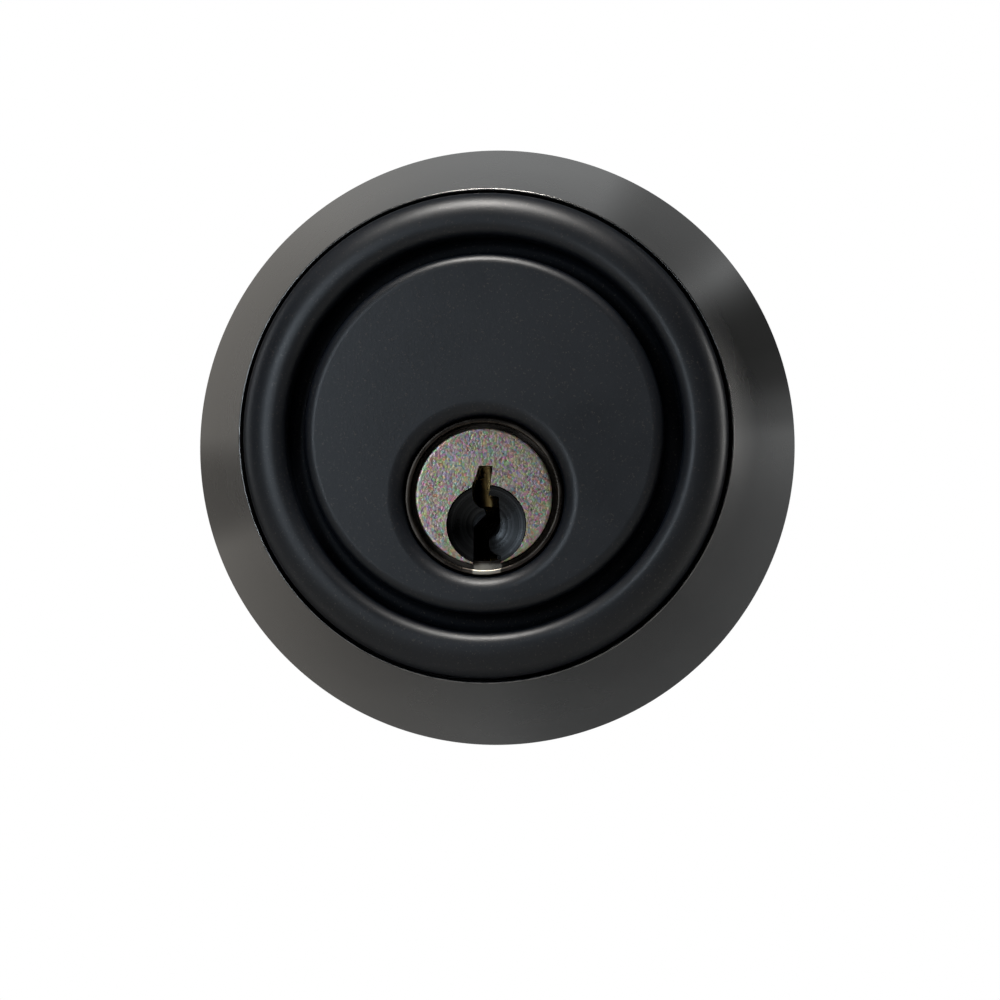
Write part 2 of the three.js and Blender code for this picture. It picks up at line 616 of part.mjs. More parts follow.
function pins() {
  BITTING.forEach((depth, i) => {
    const number = i + 1;
    const length = KEY_PIN_BASE + KEY_PIN_STEP * depth;
    const keyPin = alongZ(
      turned([[0, 0], [KEY_PIN_POINT, 0], [PIN_RADIUS, KEY_PIN_TIP], [PIN_RADIUS, length], [0, length]], TINY),
    );
    add(`key_pin_${number}`, onPlugAxis(keyPin.translate([0, pinY(i), -KEY_PIN_STOP])), BRASS);
    const driver = alongZ(rod(PIN_RADIUS, DRIVER_REST, DRIVER_REST + DRIVER_LENGTH, TINY));
    add(`driver_pin_${number}`, onPlugAxis(driver.translate([0, pinY(i), 0])), NICKEL);
    const spring = coilSpring(PIN_RADIUS - PIN_SPRING_WIRE, PIN_SPRING_WIRE, PIN_SPRING_LENGTH, PIN_SPRING_TURNS);
    add(`pin_spring_${number}`, onPlugAxis(spring.translate([0, pinY(i), SPRING_BOTTOM])), STEEL);
  });
}

const retainerScrewHoles = (from, to) => atEars(rod(RETAINER_SCREW_RADIUS + THREAD_GAP, from, to, TINY));

function cylinderRetainer() {
  const front = SHELL_REAR + RUN_GAP;
  const rear = front + RETAINER_THICKNESS;
  const plate = join(rod(RETAINER_RADIUS, front, rear, ROUND), ...atEars(rod(RETAINER_EAR, front, rear, SMALL)));
  const hole = rod(CAP_RADIUS + SEAT_GAP, front - PAST, rear + PAST, ROUND);
  const cut = onPlugAxis(plate.subtract(join(hole, ...retainerScrewHoles(front - PAST, rear + PAST))));
  const besidePosts = atPosts(rod(POST_RADIUS + SEAT_GAP, front - PAST, rear + PAST, MEDIUM));
  add("cylinder_retainer", cut.subtract(join(...besidePosts)), ZINC_STEEL);
  const seat = rear + RUN_GAP;
  const top = seat + RETAINER_SCREW_HEAD_HEIGHT;
  const screw = turned(
    [
      [0, SHELL_REAR - RETAINER_SCREW_DEPTH],
      [RETAINER_SCREW_RADIUS, SHELL_REAR - RETAINER_SCREW_DEPTH],
      [RETAINER_SCREW_RADIUS, seat],
      [RETAINER_SCREW_HEAD, seat],
      [RETAINER_SCREW_HEAD, top - RETAINER_SCREW_CHAMFER],
      [RETAINER_SCREW_HEAD - RETAINER_SCREW_CHAMFER, top],
      [0, top],
    ],
    TINY,
  );
  atEars(screw).forEach((made, i) => add(`retainer_screw_${i + 1}`, onPlugAxis(made), STEEL));
}

// ---------------------------------------------------------------- tailpiece and cam
function tailpiece() {
  const end = ROSE_FACE - ROSE_WALL - TAIL_END_GAP;
  const head = rod(LUG_OUTER, TAIL_HEAD_FRONT, TAIL_HEAD_FRONT + TAIL_HEAD, ROUND);
  const [halfWidth, halfHeight] = [BLADE_THICKNESS / 2, BLADE_HEIGHT / 2];
  const blade = block(-halfWidth, halfWidth, TAIL_HEAD_FRONT + WELD, end, -halfHeight, halfHeight);
  const tailLug = lug(LUG_LEAD, NECK_END + RUN_GAP, TAIL_HEAD_FRONT + WELD);
  add("tailpiece", onPlugAxis(join(head, blade, tailLug)), STEEL);
}

const slotAt = (from, to) =>
  block(-SLOT_HALF_THICKNESS, SLOT_HALF_THICKNESS, from, to, -SLOT_HALF_HEIGHT, SLOT_HALF_HEIGHT);

function boltCam() {
  const half = CASE_INSIDE / 2 + CASE_PLATE + CAM_HUB_STANDOUT;
  const hub = rod(CAM_HUB_RADIUS, -half, half, ROUND);
  const [halfArm, halfWidth] = [CAM_ARM_THICKNESS / 2, CAM_ARM_WIDTH / 2];
  const arm = join(
    block(-halfWidth, halfWidth, -halfArm, halfArm, 0, CAM_ARM),
    rod(halfWidth, -halfArm, halfArm, SMALL).translate([0, 0, CAM_ARM]),
    rod(CAM_PIN_RADIUS, -TAIL_GAP - TAIL_PLATE, TAIL_GAP + TAIL_PLATE, SMALL).translate([0, 0, CAM_ARM]),
  ).rotate([0, -CAM_SWEEP / 2, 0]);
  const made = join(hub, arm).subtract(slotAt(-half - PAST, half + PAST));
  add("bolt_cam", onPlugAxis(made), ZINC_STEEL);
}

// ---------------------------------------------------------------- bolt
// A round bar with flat sides, along X, with its nose rounded.
function boltBar(from, to, radius, width, round) {
  const bar = alongX(
    turned([[0, from], [radius, from], ...arc(radius - round, to - round, round, 0, 90, 3), [0, to]], LARGE),
  );
  return bar.intersect(block(from - PAST, to + PAST, -width / 2, width / 2, -radius - PAST, radius + PAST));
}

function deadbolt() {
  const tongueHalf = TAIL_GAP + TAIL_PLATE + SEAT_GAP;
  const slotEnd = BOLT_REAR + TONGUE_LENGTH + SEAT_GAP;
  const bar = boltBar(BOLT_REAR, BACKSET, BOLT_RADIUS, BOLT_WIDTH, BOLT_NOSE_ROUND);
  const [low, high] = [TAIL_LOW - SEAT_GAP, TAIL_HIGH + SEAT_GAP];
  const slot = block(BOLT_REAR - PAST, slotEnd, -tongueHalf, tongueHalf, low, high);
  const bore = alongX(rod(SAW_PIN_RADIUS + RUN_GAP, BOLT_REAR - PAST, BACKSET - SAW_PIN_COVER, MEDIUM));
  const pinX = BOLT_REAR + TONGUE_LENGTH / 2;
  const pinZ = (TAIL_LOW + TAIL_HIGH) / 2;
  const pinHole = rod(TAIL_PIN_RADIUS + RUN_GAP, -BOLT_WIDTH, BOLT_WIDTH, TINY).translate([pinX, 0, pinZ]);
  add("deadbolt", bar.subtract(join(slot, bore, pinHole)), NICKEL);
  const sawFrom = slotEnd + SEAT_GAP;
  const sawTo = BACKSET - SAW_PIN_COVER - SEAT_GAP;
  const sawPin = alongX(
    turned(
      [
        [0, sawFrom],
        [SAW_PIN_RADIUS, sawFrom],
        [SAW_PIN_RADIUS, sawTo - SAW_PIN_CHAMFER],
        [SAW_PIN_RADIUS - SAW_PIN_CHAMFER, sawTo],
        [0, sawTo],
      ],
      MEDIUM,
    ),
  );
  add("saw_pin", sawPin, HARD_STEEL);
  const tailPinHalf = BOLT_WIDTH / 2 - TAIL_PIN_INSET;
  const tailPin = rod(TAIL_PIN_RADIUS, -tailPinHalf, tailPinHalf, TINY);
  add("tail_pin", tailPin.translate([pinX, 0, pinZ]), STEEL);
}

// Two plates with a fork at the back, which the cam's pin pushes, joined in front where the bolt holds them.
function boltTail() {
  const forkHalf = CAM_PIN_RADIUS + FORK_CLEARANCE;
  const rear = CAM_REST_X - forkHalf - FORK_PRONG;
  const front = BOLT_REAR + TONGUE_LENGTH;
  const bridge = BOLT_REAR - TAIL_BRIDGE;
  const outline = [
    [rear, TAIL_LOW],
    [front, TAIL_LOW],
    [front, TAIL_HIGH],
    [CAM_REST_X + forkHalf + FORK_PRONG, TAIL_HIGH],
    [CAM_REST_X + forkHalf + FORK_PRONG, FORK_TOP],
    [CAM_REST_X + forkHalf, FORK_TOP],
    [CAM_REST_X + forkHalf, CAM_PIN_Z - forkHalf],
    [CAM_REST_X - forkHalf, CAM_PIN_Z - forkHalf],
    [CAM_REST_X - forkHalf, FORK_TOP],
    [rear, FORK_TOP],
  ];
  const outer = TAIL_GAP + TAIL_PLATE;
  const plates = prism(outline, -outer, outer).subtract(
    block(rear - PAST, bridge, -TAIL_GAP, TAIL_GAP, TAIL_LOW - PAST, FORK_TOP + PAST),
  );
  const pinX = BOLT_REAR + TONGUE_LENGTH / 2;
  const pinZ = (TAIL_LOW + TAIL_HIGH) / 2;
  const hole = rod(TAIL_PIN_RADIUS + RUN_GAP, -outer - PAST, outer + PAST, TINY).translate([pinX, 0, pinZ]);
  add("bolt_tail", plates.subtract(hole), ZINC_STEEL);
}

// ---------------------------------------------------------------- bolt case, barrel and faceplate
function roundedPlate(width, height, corner, from, to) {
  const [y, z] = [width / 2 - corner, height / 2 - corner];
  const outline = [
    ...arc(y, z, corner, 0, 90, 4),
    ...arc(-y, z, corner, 90, 180, 4),
    ...arc(-y, -z, corner, 180, 270, 4),
    ...arc(y, -z, corner, 270, 360, 4),
  ];
  return prism(outline, from, to).rotate([0, 0, -90]);
}

function plates() {
  const holeWidth = BOLT_WIDTH + 2 * SEAT_GAP;
  const holeEnd = BACKSET + PAST + BOLT_NOSE_ROUND;
  const boltHole = boltBar(BACKPLATE_BACK - PAST, holeEnd, BOLT_RADIUS + SEAT_GAP, holeWidth, BOLT_NOSE_ROUND);
  const screwZ = FACEPLATE_SCREW_SPACING / 2;
  const tip = BACKSET - FACEPLATE_SCREW_LENGTH;
  const headTop = BACKSET - FACEPLATE_SCREW_SINK;
  const headEdge = headTop - FACEPLATE_SCREW_EDGE;
  const countersunk = (gap) =>
    turned(
      [
        [0, tip],
        [FACEPLATE_SCREW_POINT, tip],
        [FACEPLATE_SCREW_RADIUS + gap, tip + FACEPLATE_SCREW_TAPER],
        [FACEPLATE_SCREW_RADIUS + gap, headEdge - FACEPLATE_SCREW_CONE - gap],
        [FACEPLATE_SCREW_HEAD + gap, headEdge - gap],
        [FACEPLATE_SCREW_HEAD + gap, headTop + gap],
        [0, headTop + gap],
      ],
      MEDIUM,
    );
  const holes = [-1, 1].map((side) => alongX(countersunk(SEAT_GAP)).translate([0, 0, side * screwZ]));
  const cuts = join(boltHole, ...holes);
  const face = roundedPlate(FACEPLATE_WIDTH, FACEPLATE_HEIGHT, FACEPLATE_CORNER, FACEPLATE_BACK, BACKSET);
  add("bolt_faceplate", face.subtract(cuts), SATIN_BLACK);
  const back = roundedPlate(
    FACEPLATE_WIDTH - 2 * BACKPLATE_INSET,
    FACEPLATE_HEIGHT - 2 * BACKPLATE_INSET,
    FACEPLATE_CORNER - BACKPLATE_INSET,
    BACKPLATE_BACK,
    BACKPLATE_FRONT,
  );
  add("bolt_backplate", back.subtract(cuts), ZINC_STEEL);
  ["bottom", "top"].forEach((place, i) => {
    const [width, span, depth] = FACEPLATE_CROSS;
    const cross = crossRecess(width, span, headTop - depth, headTop + PAST);
    const screw = alongX(countersunk(0).subtract(cross));
    add(`faceplate_screw_${place}`, screw.translate([0, 0, (i * 2 - 1) * screwZ]), SATIN_BLACK);
  });
}

function boltBarrel() {
  const tube = alongX(
    turned(
      [
        [0, BARREL_REAR],
        [BARREL_RADIUS, BARREL_REAR],
        [BARREL_RADIUS, BARREL_FRONT],
        [BARREL_RADIUS - BARREL_WALL, BARREL_FRONT],
        [BARREL_RADIUS - BARREL_WALL, BARREL_REAR + BARREL_END],
        [0, BARREL_REAR + BARREL_END],
      ],
      LARGE,
    ),
  );
  const half = TAIL_GAP + TAIL_PLATE + SEAT_GAP;
  const [behind, beyond] = [BARREL_REAR - PAST, BARREL_REAR + BARREL_END + PAST];
  const window = block(behind, beyond, -half, half, TAIL_LOW - SEAT_GAP, FORK_TOP + SEAT_GAP);
  const tabs = [-1, 1].map((side) => {
    const middle = side * (CASE_INSIDE / 2 + CASE_PLATE / 2);
    const room = CASE_PLATE / 2 + SEAT_GAP;
    const top = CASE_TAB / 2 + SEAT_GAP;
    return block(behind, beyond, middle - room, middle + room, -top, top);
  });
  add("bolt_barrel", tube.subtract(join(window, ...tabs)), ZINC_STEEL);
}

const RIVETS = [-CASE_REAR + REAR_RIVET_INSET, BARREL_REAR - FRONT_RIVET_INSET];

function boltCase() {
  const inner = CASE_INSIDE / 2;
  const outer = inner + CASE_PLATE;
  const front = BARREL_REAR - SEAT_GAP;
  ["outer", "inner"].forEach((place, i) => {
    const side = i * 2 - 1;
    const span = (a, b) => (side < 0 ? [-b, -a] : [a, b]);
    const plate = join(
      block(-CASE_REAR, front, ...span(inner, outer), CASE_LOW, CASE_HIGH),
      block(front - WELD, BARREL_REAR + BARREL_END, ...span(inner, outer), -CASE_TAB / 2, CASE_TAB / 2),
      block(-CASE_REAR, -CASE_REAR + CASE_PLATE, ...span(SEAT_GAP / 2, outer), CASE_LOW, CASE_BACK_TOP),
      block(CASE_FLOOR_REAR, front, ...span(SEAT_GAP / 2, outer), CASE_LOW, CASE_LOW + CASE_PLATE),
    );
    const hub = onPlugAxis(rod(CAM_HUB_RADIUS + RUN_GAP, -outer - PAST, outer + PAST, ROUND));
    const rivetHole = rod(RIVET_RADIUS + RUN_GAP, -outer - PAST, outer + PAST, TINY);
    const rivetHoles = RIVETS.map((x) => rivetHole.translate([x, 0, RIVET_Z]));
    add(`case_half_${place}`, plate.subtract(join(hub, ...rivetHoles)), ZINC_STEEL);
  });
  RIVETS.forEach((x, i) => {
    const end = outer + RUN_GAP;
    const head = (from, to) => rod(RIVET_HEAD, from, to, TINY);
    const rivet = join(
      rod(RIVET_RADIUS, -end - WELD, end + WELD, TINY),
      head(end, end + RIVET_HEAD_HEIGHT),
      head(-end - RIVET_HEAD_HEIGHT, -end),
    );
    add(`case_rivet_${i + 1}`, rivet.translate([x, 0, RIVET_Z]), STEEL);
  });
}

// A bowed leaf that presses on the cam's hub.
function detentSpring() {
  const length = CASE_REAR - CASE_PLATE - CAM_HUB_RADIUS - 2 * SEAT_GAP;
  const radius = length;
  const from = -CASE_REAR + CASE_PLATE + SEAT_GAP;
  const bow = [...arc(0, 0, radius, 120, 60, 6), ...arc(0, 0, radius - DETENT_THICKNESS, 60, 120, 6)];
  const leaf = bow.map(([x, z]) => [x + from + length / 2, z - radius + DETENT_TOP]);
  add("detent_spring", prism(leaf, -DETENT_WIDTH / 2, DETENT_WIDTH / 2), STEEL);
}

// ---------------------------------------------------------------- inside
const screwHoles = (from, to) => atPosts(rod(SCREW_RADIUS + THREAD_GAP, from, to, SMALL));

function mountingPlate() {
  const back = INSIDE + SEAT_GAP / 3;
  const plate = rod(PLATE_RADIUS, back, back + PLATE_THICKNESS, FINE);
  const hole = onPlugAxis(rod(CLIP_RADIUS + CLIP_ROOM, back - PAST, back + PLATE_THICKNESS + PAST, ROUND));
  const holes = screwHoles(back - PAST, back + PLATE_THICKNESS + PAST);
  add("mounting_plate", plate.subtract(join(hole, ...holes)), ZINC_STEEL);
}

function interiorRose() {
  const inside = ROSE_FACE - ROSE_WALL;
  const slope = (ROSE_RADIUS - ROSE_FACE_RADIUS) / (ROSE_HEIGHT - ROSE_EDGE);
  const lean = THREE.MathUtils.radToDeg(Math.atan(slope));
  const shell = turned(
    [
      [ROSE_RADIUS - ROSE_WALL, INSIDE],
      [ROSE_RADIUS, INSIDE],
      [ROSE_RADIUS, INSIDE + ROSE_EDGE],
      [ROSE_FACE_RADIUS + slope * ROSE_ROUND, ROSE_FACE - ROSE_ROUND],
      ...arc(ROSE_FACE_RADIUS - ROSE_ROUND, ROSE_FACE - ROSE_ROUND, ROSE_ROUND, lean, 90, 3),
      [0, ROSE_FACE],
      [0, inside],
      [ROSE_FACE_RADIUS - ROSE_ROUND, inside],
      [ROSE_RADIUS - ROSE_WALL, INSIDE + ROSE_EDGE],
    ],
    FINE,
  );
  const pillars = atPosts(rod(SCREW_HEAD_RADIUS, INSIDE + PLATE_THICKNESS + 2 * SEAT_GAP, inside + WELD, SMALL));
  const shaftHole = rod(SHAFT_RADIUS + BUSHING_WALL + 2 * RUN_GAP, inside - PAST, ROSE_FACE + PAST, ROUND);
  const holes = screwHoles(INSIDE, ROSE_FACE + PAST);
  add("interior_rose", join(shell, ...pillars).subtract(join(onPlugAxis(shaftHole), ...holes)), SATIN_BLACK);
}

function mountingScrews() {
  const seat = ROSE_FACE + RUN_GAP;
  const top = seat + SCREW_HEAD_HEIGHT;
  const rise = SCREW_HEAD_HEIGHT - SCREW_HEAD_EDGE;
  const domeRadius = (SCREW_HEAD_RADIUS ** 2 + rise ** 2) / (2 * rise);
  const domeStart = THREE.MathUtils.radToDeg(Math.acos(SCREW_HEAD_RADIUS / domeRadius));
  const screw = turned(
    [
      [0, SCREW_TIP],
      [SCREW_RADIUS - SCREW_CHAMFER, SCREW_TIP],
      [SCREW_RADIUS, SCREW_TIP + SCREW_CHAMFER],
      [SCREW_RADIUS, seat],
      [SCREW_HEAD_RADIUS, seat],
      ...arc(0, top - domeRadius, domeRadius, domeStart, 90, 4),
    ],
    MEDIUM,
  );
  const [width, span, depth] = SCREW_CROSS;
  const made = screw.subtract(crossRecess(width, span, top - depth, top + PAST));
  const places = ["bottom", "top"];
  atPosts(made).forEach((placed, i) => add(`mounting_screw_${places[i]}`, placed, SATIN_BLACK));
}

function thumbturn() {
  const inside = ROSE_FACE - ROSE_WALL;
  const base = ROSE_FACE + RUN_GAP + BUSHING_WALL + RUN_GAP;
  const shaftEnd = INSIDE + PLATE_THICKNESS + SHAFT_START;
  const clipTop = inside - WASHER_ROOM - 2 * RUN_GAP;
  const clipLow = clipTop - CLIP_THICKNESS;
  const shaft = turned(
    [
      [0, shaftEnd],
      [SHAFT_RADIUS - SHAFT_CHAMFER, shaftEnd],
      [SHAFT_RADIUS, shaftEnd + SHAFT_CHAMFER],
      [SHAFT_RADIUS, clipLow - RUN_GAP],
      [SHAFT_RADIUS - CLIP_GROOVE, clipLow - RUN_GAP],
      [SHAFT_RADIUS - CLIP_GROOVE, clipTop + RUN_GAP],
      [SHAFT_RADIUS, clipTop + RUN_GAP],
      [SHAFT_RADIUS, base],
      [KNOB_BASE_RADIUS, base],
      [KNOB_BASE_RADIUS, base + KNOB_BASE_HEIGHT - KNOB_BASE_CHAMFER],
      [KNOB_BASE_RADIUS - 2 * KNOB_BASE_CHAMFER, base + KNOB_BASE_HEIGHT],
      [0, base + KNOB_BASE_HEIGHT],
    ],
    LARGE,
  );
  // The wing is a bar that swells towards its end, cut to a stadium when it is seen from the side.
  const reach = ROSE_FACE + KNOB_REACH;
  const halfSpan = KNOB_SPAN / 2;
  const foot = KNOB_BASE_RADIUS - KNOB_FOOT;
  const round = KNOB_END_ROUND;
  const side = [
    [-foot, base + WELD],
    [foot, base + WELD],
    [halfSpan, reach - KNOB_END],
    ...arc(halfSpan - round, reach - round, round, 0, 90, 4),
    ...arc(-halfSpan + round, reach - round, round, 90, 180, 4),
    [-halfSpan, reach - KNOB_END],
  ];
  const [waist, tip, tipRound] = [KNOB_WAIST / 2, KNOB_TIP_THICKNESS / 2, KNOB_TIP_ROUND];
  const profile = [
    [-waist, base + WELD],
    [waist, base + WELD],
    [waist, base + KNOB_WAIST_HEIGHT],
    [tip, reach - KNOB_TIP_EDGE],
    ...arc(tip - tipRound, reach - tipRound, tipRound, 0, 90, 2),
    ...arc(-tip + tipRound, reach - tipRound, tipRound, 90, 180, 2),
    [-tip, reach - KNOB_TIP_EDGE],
    [-waist, base + KNOB_WAIST_HEIGHT],
  ];
  // An outline [z, y] carried along X, and an outline [x, y] carried along Z.
  const across = prism(side, -KNOB_SPAN, KNOB_SPAN).rotate([-90, 0, 0]).rotate([0, -90, 0]);
  const upright = prism(profile, -KNOB_SPAN, KNOB_SPAN).rotate([-90, 0, 0]);
  const flip = (made) => (made.boundingBox().max[1] > INSIDE ? made : made.mirror([0, 1, 0]));
  const wing = flip(across).intersect(flip(upright));
  const made = join(shaft, wing).subtract(slotAt(shaftEnd - PAST, inside));
  add("thumbturn_knob", onPlugAxis(made), SATIN_BLACK);

  const ring = tube(SHAFT_RADIUS - CLIP_GROOVE + RUN_GAP, CLIP_RADIUS, clipLow, clipTop, ROUND);
  const halfOpening = CLIP_OPENING / 2;
  const opening = block(-halfOpening, halfOpening, clipLow - PAST, clipTop + PAST, -CLIP_RADIUS - PAST, 0);
  add("retaining_clip", onPlugAxis(ring.subtract(opening)), STEEL);
  const [washerLow, washerHigh] = [clipTop + RUN_GAP, inside - RUN_GAP];
  const washerInner = SHAFT_RADIUS + RUN_GAP;
  const washerOuter = CLIP_RADIUS - WASHER_INSET;
  const washer = waveRing(washerInner, washerOuter, WASHER_WIRE, washerLow, washerHigh, WASHER_WAVES, ROUND);
  add("wave_washer", onPlugAxis(washer), STEEL);
  const bushing = turned(
    [
      [SHAFT_RADIUS + RUN_GAP, inside],
      [SHAFT_RADIUS + RUN_GAP + BUSHING_WALL, inside],
      [SHAFT_RADIUS + RUN_GAP + BUSHING_WALL, ROSE_FACE + RUN_GAP],
      [SHAFT_RADIUS + RUN_GAP + BUSHING_FLANGE, ROSE_FACE + RUN_GAP],
      [SHAFT_RADIUS + RUN_GAP + BUSHING_FLANGE, ROSE_FACE + RUN_GAP + BUSHING_WALL],
      [SHAFT_RADIUS + RUN_GAP, ROSE_FACE + RUN_GAP + BUSHING_WALL],
    ],
    ROUND,
  );
  add("thumbturn_bushing", onPlugAxis(bushing), NYLON);
}

// ---------------------------------------------------------------- the assembly
outerCollar();
guardRing();
collarSpring();
cylinderHousing();
cylinderShell();
plug();
pins();
cylinderCap();
cylinderRetainer();
tailpiece();
boltCam();
deadbolt();
boltTail();
plates();
boltBarrel();
boltCase();
detentSpring();
mountingPlate();
interiorRose();
mountingScrews();
thumbturn();

export default lock;
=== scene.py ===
import math

import bmesh
import bpy
import numpy as np
from bpy.props import FloatProperty, FloatVectorProperty, PointerProperty
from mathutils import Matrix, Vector
from mathutils.geometry import delaunay_2d_cdt


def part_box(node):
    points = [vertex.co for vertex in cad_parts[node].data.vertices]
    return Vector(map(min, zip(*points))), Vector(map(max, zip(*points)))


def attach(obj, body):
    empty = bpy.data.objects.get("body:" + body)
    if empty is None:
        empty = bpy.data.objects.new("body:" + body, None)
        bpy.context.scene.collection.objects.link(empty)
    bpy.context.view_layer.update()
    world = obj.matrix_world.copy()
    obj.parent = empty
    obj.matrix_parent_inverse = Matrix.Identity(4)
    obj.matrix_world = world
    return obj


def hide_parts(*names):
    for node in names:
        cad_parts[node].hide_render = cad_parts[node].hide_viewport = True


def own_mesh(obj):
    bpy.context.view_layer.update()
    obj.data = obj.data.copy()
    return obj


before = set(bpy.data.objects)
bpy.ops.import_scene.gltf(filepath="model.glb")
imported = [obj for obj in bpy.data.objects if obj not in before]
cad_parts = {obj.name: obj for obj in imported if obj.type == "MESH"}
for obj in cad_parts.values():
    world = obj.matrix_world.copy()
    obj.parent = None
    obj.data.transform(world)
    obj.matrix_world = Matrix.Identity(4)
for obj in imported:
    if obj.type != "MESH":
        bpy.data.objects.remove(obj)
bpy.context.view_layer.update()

bl_info = {
    "name": "Deadbolt Lock",
    "version": (1, 0, 0),
    "blender": (4, 5, 0),
    "location": "View3D > Sidebar > Deadbolt",
    "description": "Builds the finished surfaces of a tubular deadbolt around its CAD frame",
    "category": "Object",
}

MM = 0.001
FINE = 288  # points round a large circle
ROUND = 128
SMALL = 64
SHARP = 32.0  # degrees between two faces from which their edge is sharp
WELD = 2e-7  # points nearer than this are one

# ------------------------------------------------------------------ places read from the frame
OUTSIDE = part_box("outer_collar")[1].y  # the door's outer face
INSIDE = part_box("interior_rose")[0].y
COLLAR_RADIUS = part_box("outer_collar")[1].x
COLLAR_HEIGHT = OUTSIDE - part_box("outer_collar")[0].y
HEAD_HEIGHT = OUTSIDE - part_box("cylinder_housing")[0].y
FLANGE_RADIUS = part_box("cylinder_housing")[1].x
BOSS_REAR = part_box("cylinder_shell")[1].y
POST_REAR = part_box("cylinder_housing")[1].y
POST_Z = (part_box("mounting_screw_top")[0].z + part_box("mounting_screw_top")[1].z) / 2
PLUG_Z = (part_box("cylinder_cap")[0].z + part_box("cylinder_cap")[1].z) / 2
PLUG_AXIS = (0.0, PLUG_Z)
PLUG_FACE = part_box("plug")[0].y
PLUG_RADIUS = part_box("plug")[1].x
SHELL_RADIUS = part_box("cylinder_shell")[1].x
SHELL_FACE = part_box("cylinder_shell")[0].y
BIBLE_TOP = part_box("cylinder_shell")[1].z
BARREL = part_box("bolt_barrel")
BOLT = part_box("deadbolt")
ROSE_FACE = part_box("interior_rose")[1].y


def length(name, description, millimetres):
    """A size that a user can change, given in millimetres."""
    return FloatProperty(
        name=name, description=description, default=millimetres * MM, min=0.0, subtype="DISTANCE", unit="LENGTH"
    )


def colour(name, description, red, green, blue):
    """A linear colour that a user can change."""
    return FloatVectorProperty(
        name=name, description=description, default=(red, green, blue), min=0.0, max=1.0, subtype="COLOR", size=3
    )


class DeadboltSizes(bpy.types.PropertyGroup):
    """Sizes of the finished surfaces that the frame's boxes don't give."""

    collar_wall: length("Collar wall", "Thickness of the collar's sheet", 1.6)
    collar_edge: length("Collar edge", "Straight edge where the cone meets the door", 0.8)
    collar_lip: length("Collar lip", "Radius of the collar's rolled front lip", 0.12)
    head_radius: length("Head radius", "Radius of the cylinder housing's front", 24.7)
    head_gap: length("Head gap", "Room between the housing and the collar's lip", 0.35)
    ring_width: length("Ring width", "Width of the raised ring round the groove", 4.6)
    groove_width: length("Groove width", "Width of the groove between its two walls", 1.9)
    groove_depth: length("Groove depth", "Depth of the groove", 4.5)
    ring_outer_round: length("Ring outer round", "Radius of the ring's outer edge", 3.0)
    ring_inner_round: length("Ring inner round", "Radius of the ring's inner edge", 1.4)
    disc_round: length("Disc round", "Radius of the middle disc's edge", 1.2)
    mouth_round: length("Mouth round", "Radius of the edge that dips to the key cylinder", 1.6)
    dish_radius: length("Dish radius", "Radius of the finger dish in the plug's face", 4.05)
    dish_depth: length("Dish depth", "Depth of the finger dish", 1.7)
    plug_edge: length("Plug edge", "Chamfer round the plug's face", 0.2)


class DeadboltColours(bpy.types.PropertyGroup):
    """Colours of the finishes."""

    collar: colour("Satin black", "Coat of the collar, rose, thumbturn and faceplate", 0.20, 0.196, 0.19)
    housing: colour("Powder black", "Powder coat of the cylinder housing", 0.0034, 0.0046, 0.0070)
    nickel: colour("Nickel", "Plate on the plug and the bolt", 0.36, 0.31, 0.25)
    brass: colour("Brass", "Turned brass", 0.72, 0.50, 0.20)
    steel: colour("Steel", "Plain steel", 0.45, 0.46, 0.47)
    zinc: colour("Zinc plate", "Zinc-plated pressed steel", 0.58, 0.60, 0.62)
    hardened: colour("Hardened steel", "Dark hardened steel", 0.12, 0.125, 0.13)
    shell: colour("Shell", "Dark bronze of the key cylinder's shell", 0.045, 0.038, 0.032)
    nylon: colour("Nylon", "Bushing under the thumbturn", 0.75, 0.73, 0.68)
    floor: colour("Floor", "The plain floor", 0.82, 0.82, 0.81)


# ------------------------------------------------------------------ outlines: closed loops of [u, v] points
def circle(radius, points=ROUND, centre=(0.0, 0.0), turn=0.0):
    """u = cu + r sin t, v = cv + r cos t, with t going once round."""
    t = np.linspace(0.0, 2 * np.pi, points, endpoint=False) + turn
    return np.stack([centre[0] + radius * np.sin(t), centre[1] + radius * np.cos(t)], axis=1)


def arc(centre_u, centre_v, radius, start, end, points=10):
    """Points on a circle between two angles in degrees, both ends included."""
    t = np.radians(np.linspace(start, end, points))
    return np.stack([centre_u + radius * np.cos(t), centre_v + radius * np.sin(t)], axis=1)


def rounded_rectangle(width, height, corner, centre=(0.0, 0.0), points=12):
    """Four quarter circles joined by straight lines."""
    u, v = width / 2 - corner, height / 2 - corner
    turns = [(u, v, 0), (-u, v, 90), (-u, -v, 180), (u, -v, 270)]
    loop = np.concatenate([arc(a, b, corner, start, start + 90, points) for a, b, start in turns])
    return loop + np.array(centre)


def resampled(loop, spacing):
    """The same closed outline with points no further apart than the spacing, its corners kept."""
    after = np.roll(loop, -1, axis=0)
    steps = np.maximum(np.ceil(np.linalg.norm(after - loop, axis=1) / spacing).astype(int), 1)
    index = np.repeat(np.arange(len(loop)), steps)
    first = np.cumsum(steps) - steps
    share = (np.arange(steps.sum()) - first[index]) / steps[index]
    return loop[index] + share[:, None] * (after - loop)[index]


def outward(loop):
    """Mitred unit offsets that point out of a closed outline."""
    before = loop - np.roll(loop, 1, axis=0)
    after = np.roll(loop, -1, axis=0) - loop
    normals = []
    for edge in (before, after):
        size = np.maximum(np.linalg.norm(edge, axis=1, keepdims=True), 1e-12)
        normals.append(np.stack([edge[:, 1], -edge[:, 0]], axis=1) / size)
    total = normals[0] + normals[1]
    mitre = total / np.maximum((total * total).sum(axis=1, keepdims=True) / 2, 0.5)
    area = (loop[:, 0] * np.roll(loop[:, 1], -1) - np.roll(loop[:, 0], -1) * loop[:, 1]).sum()
    return mitre if area > 0 else -mitre


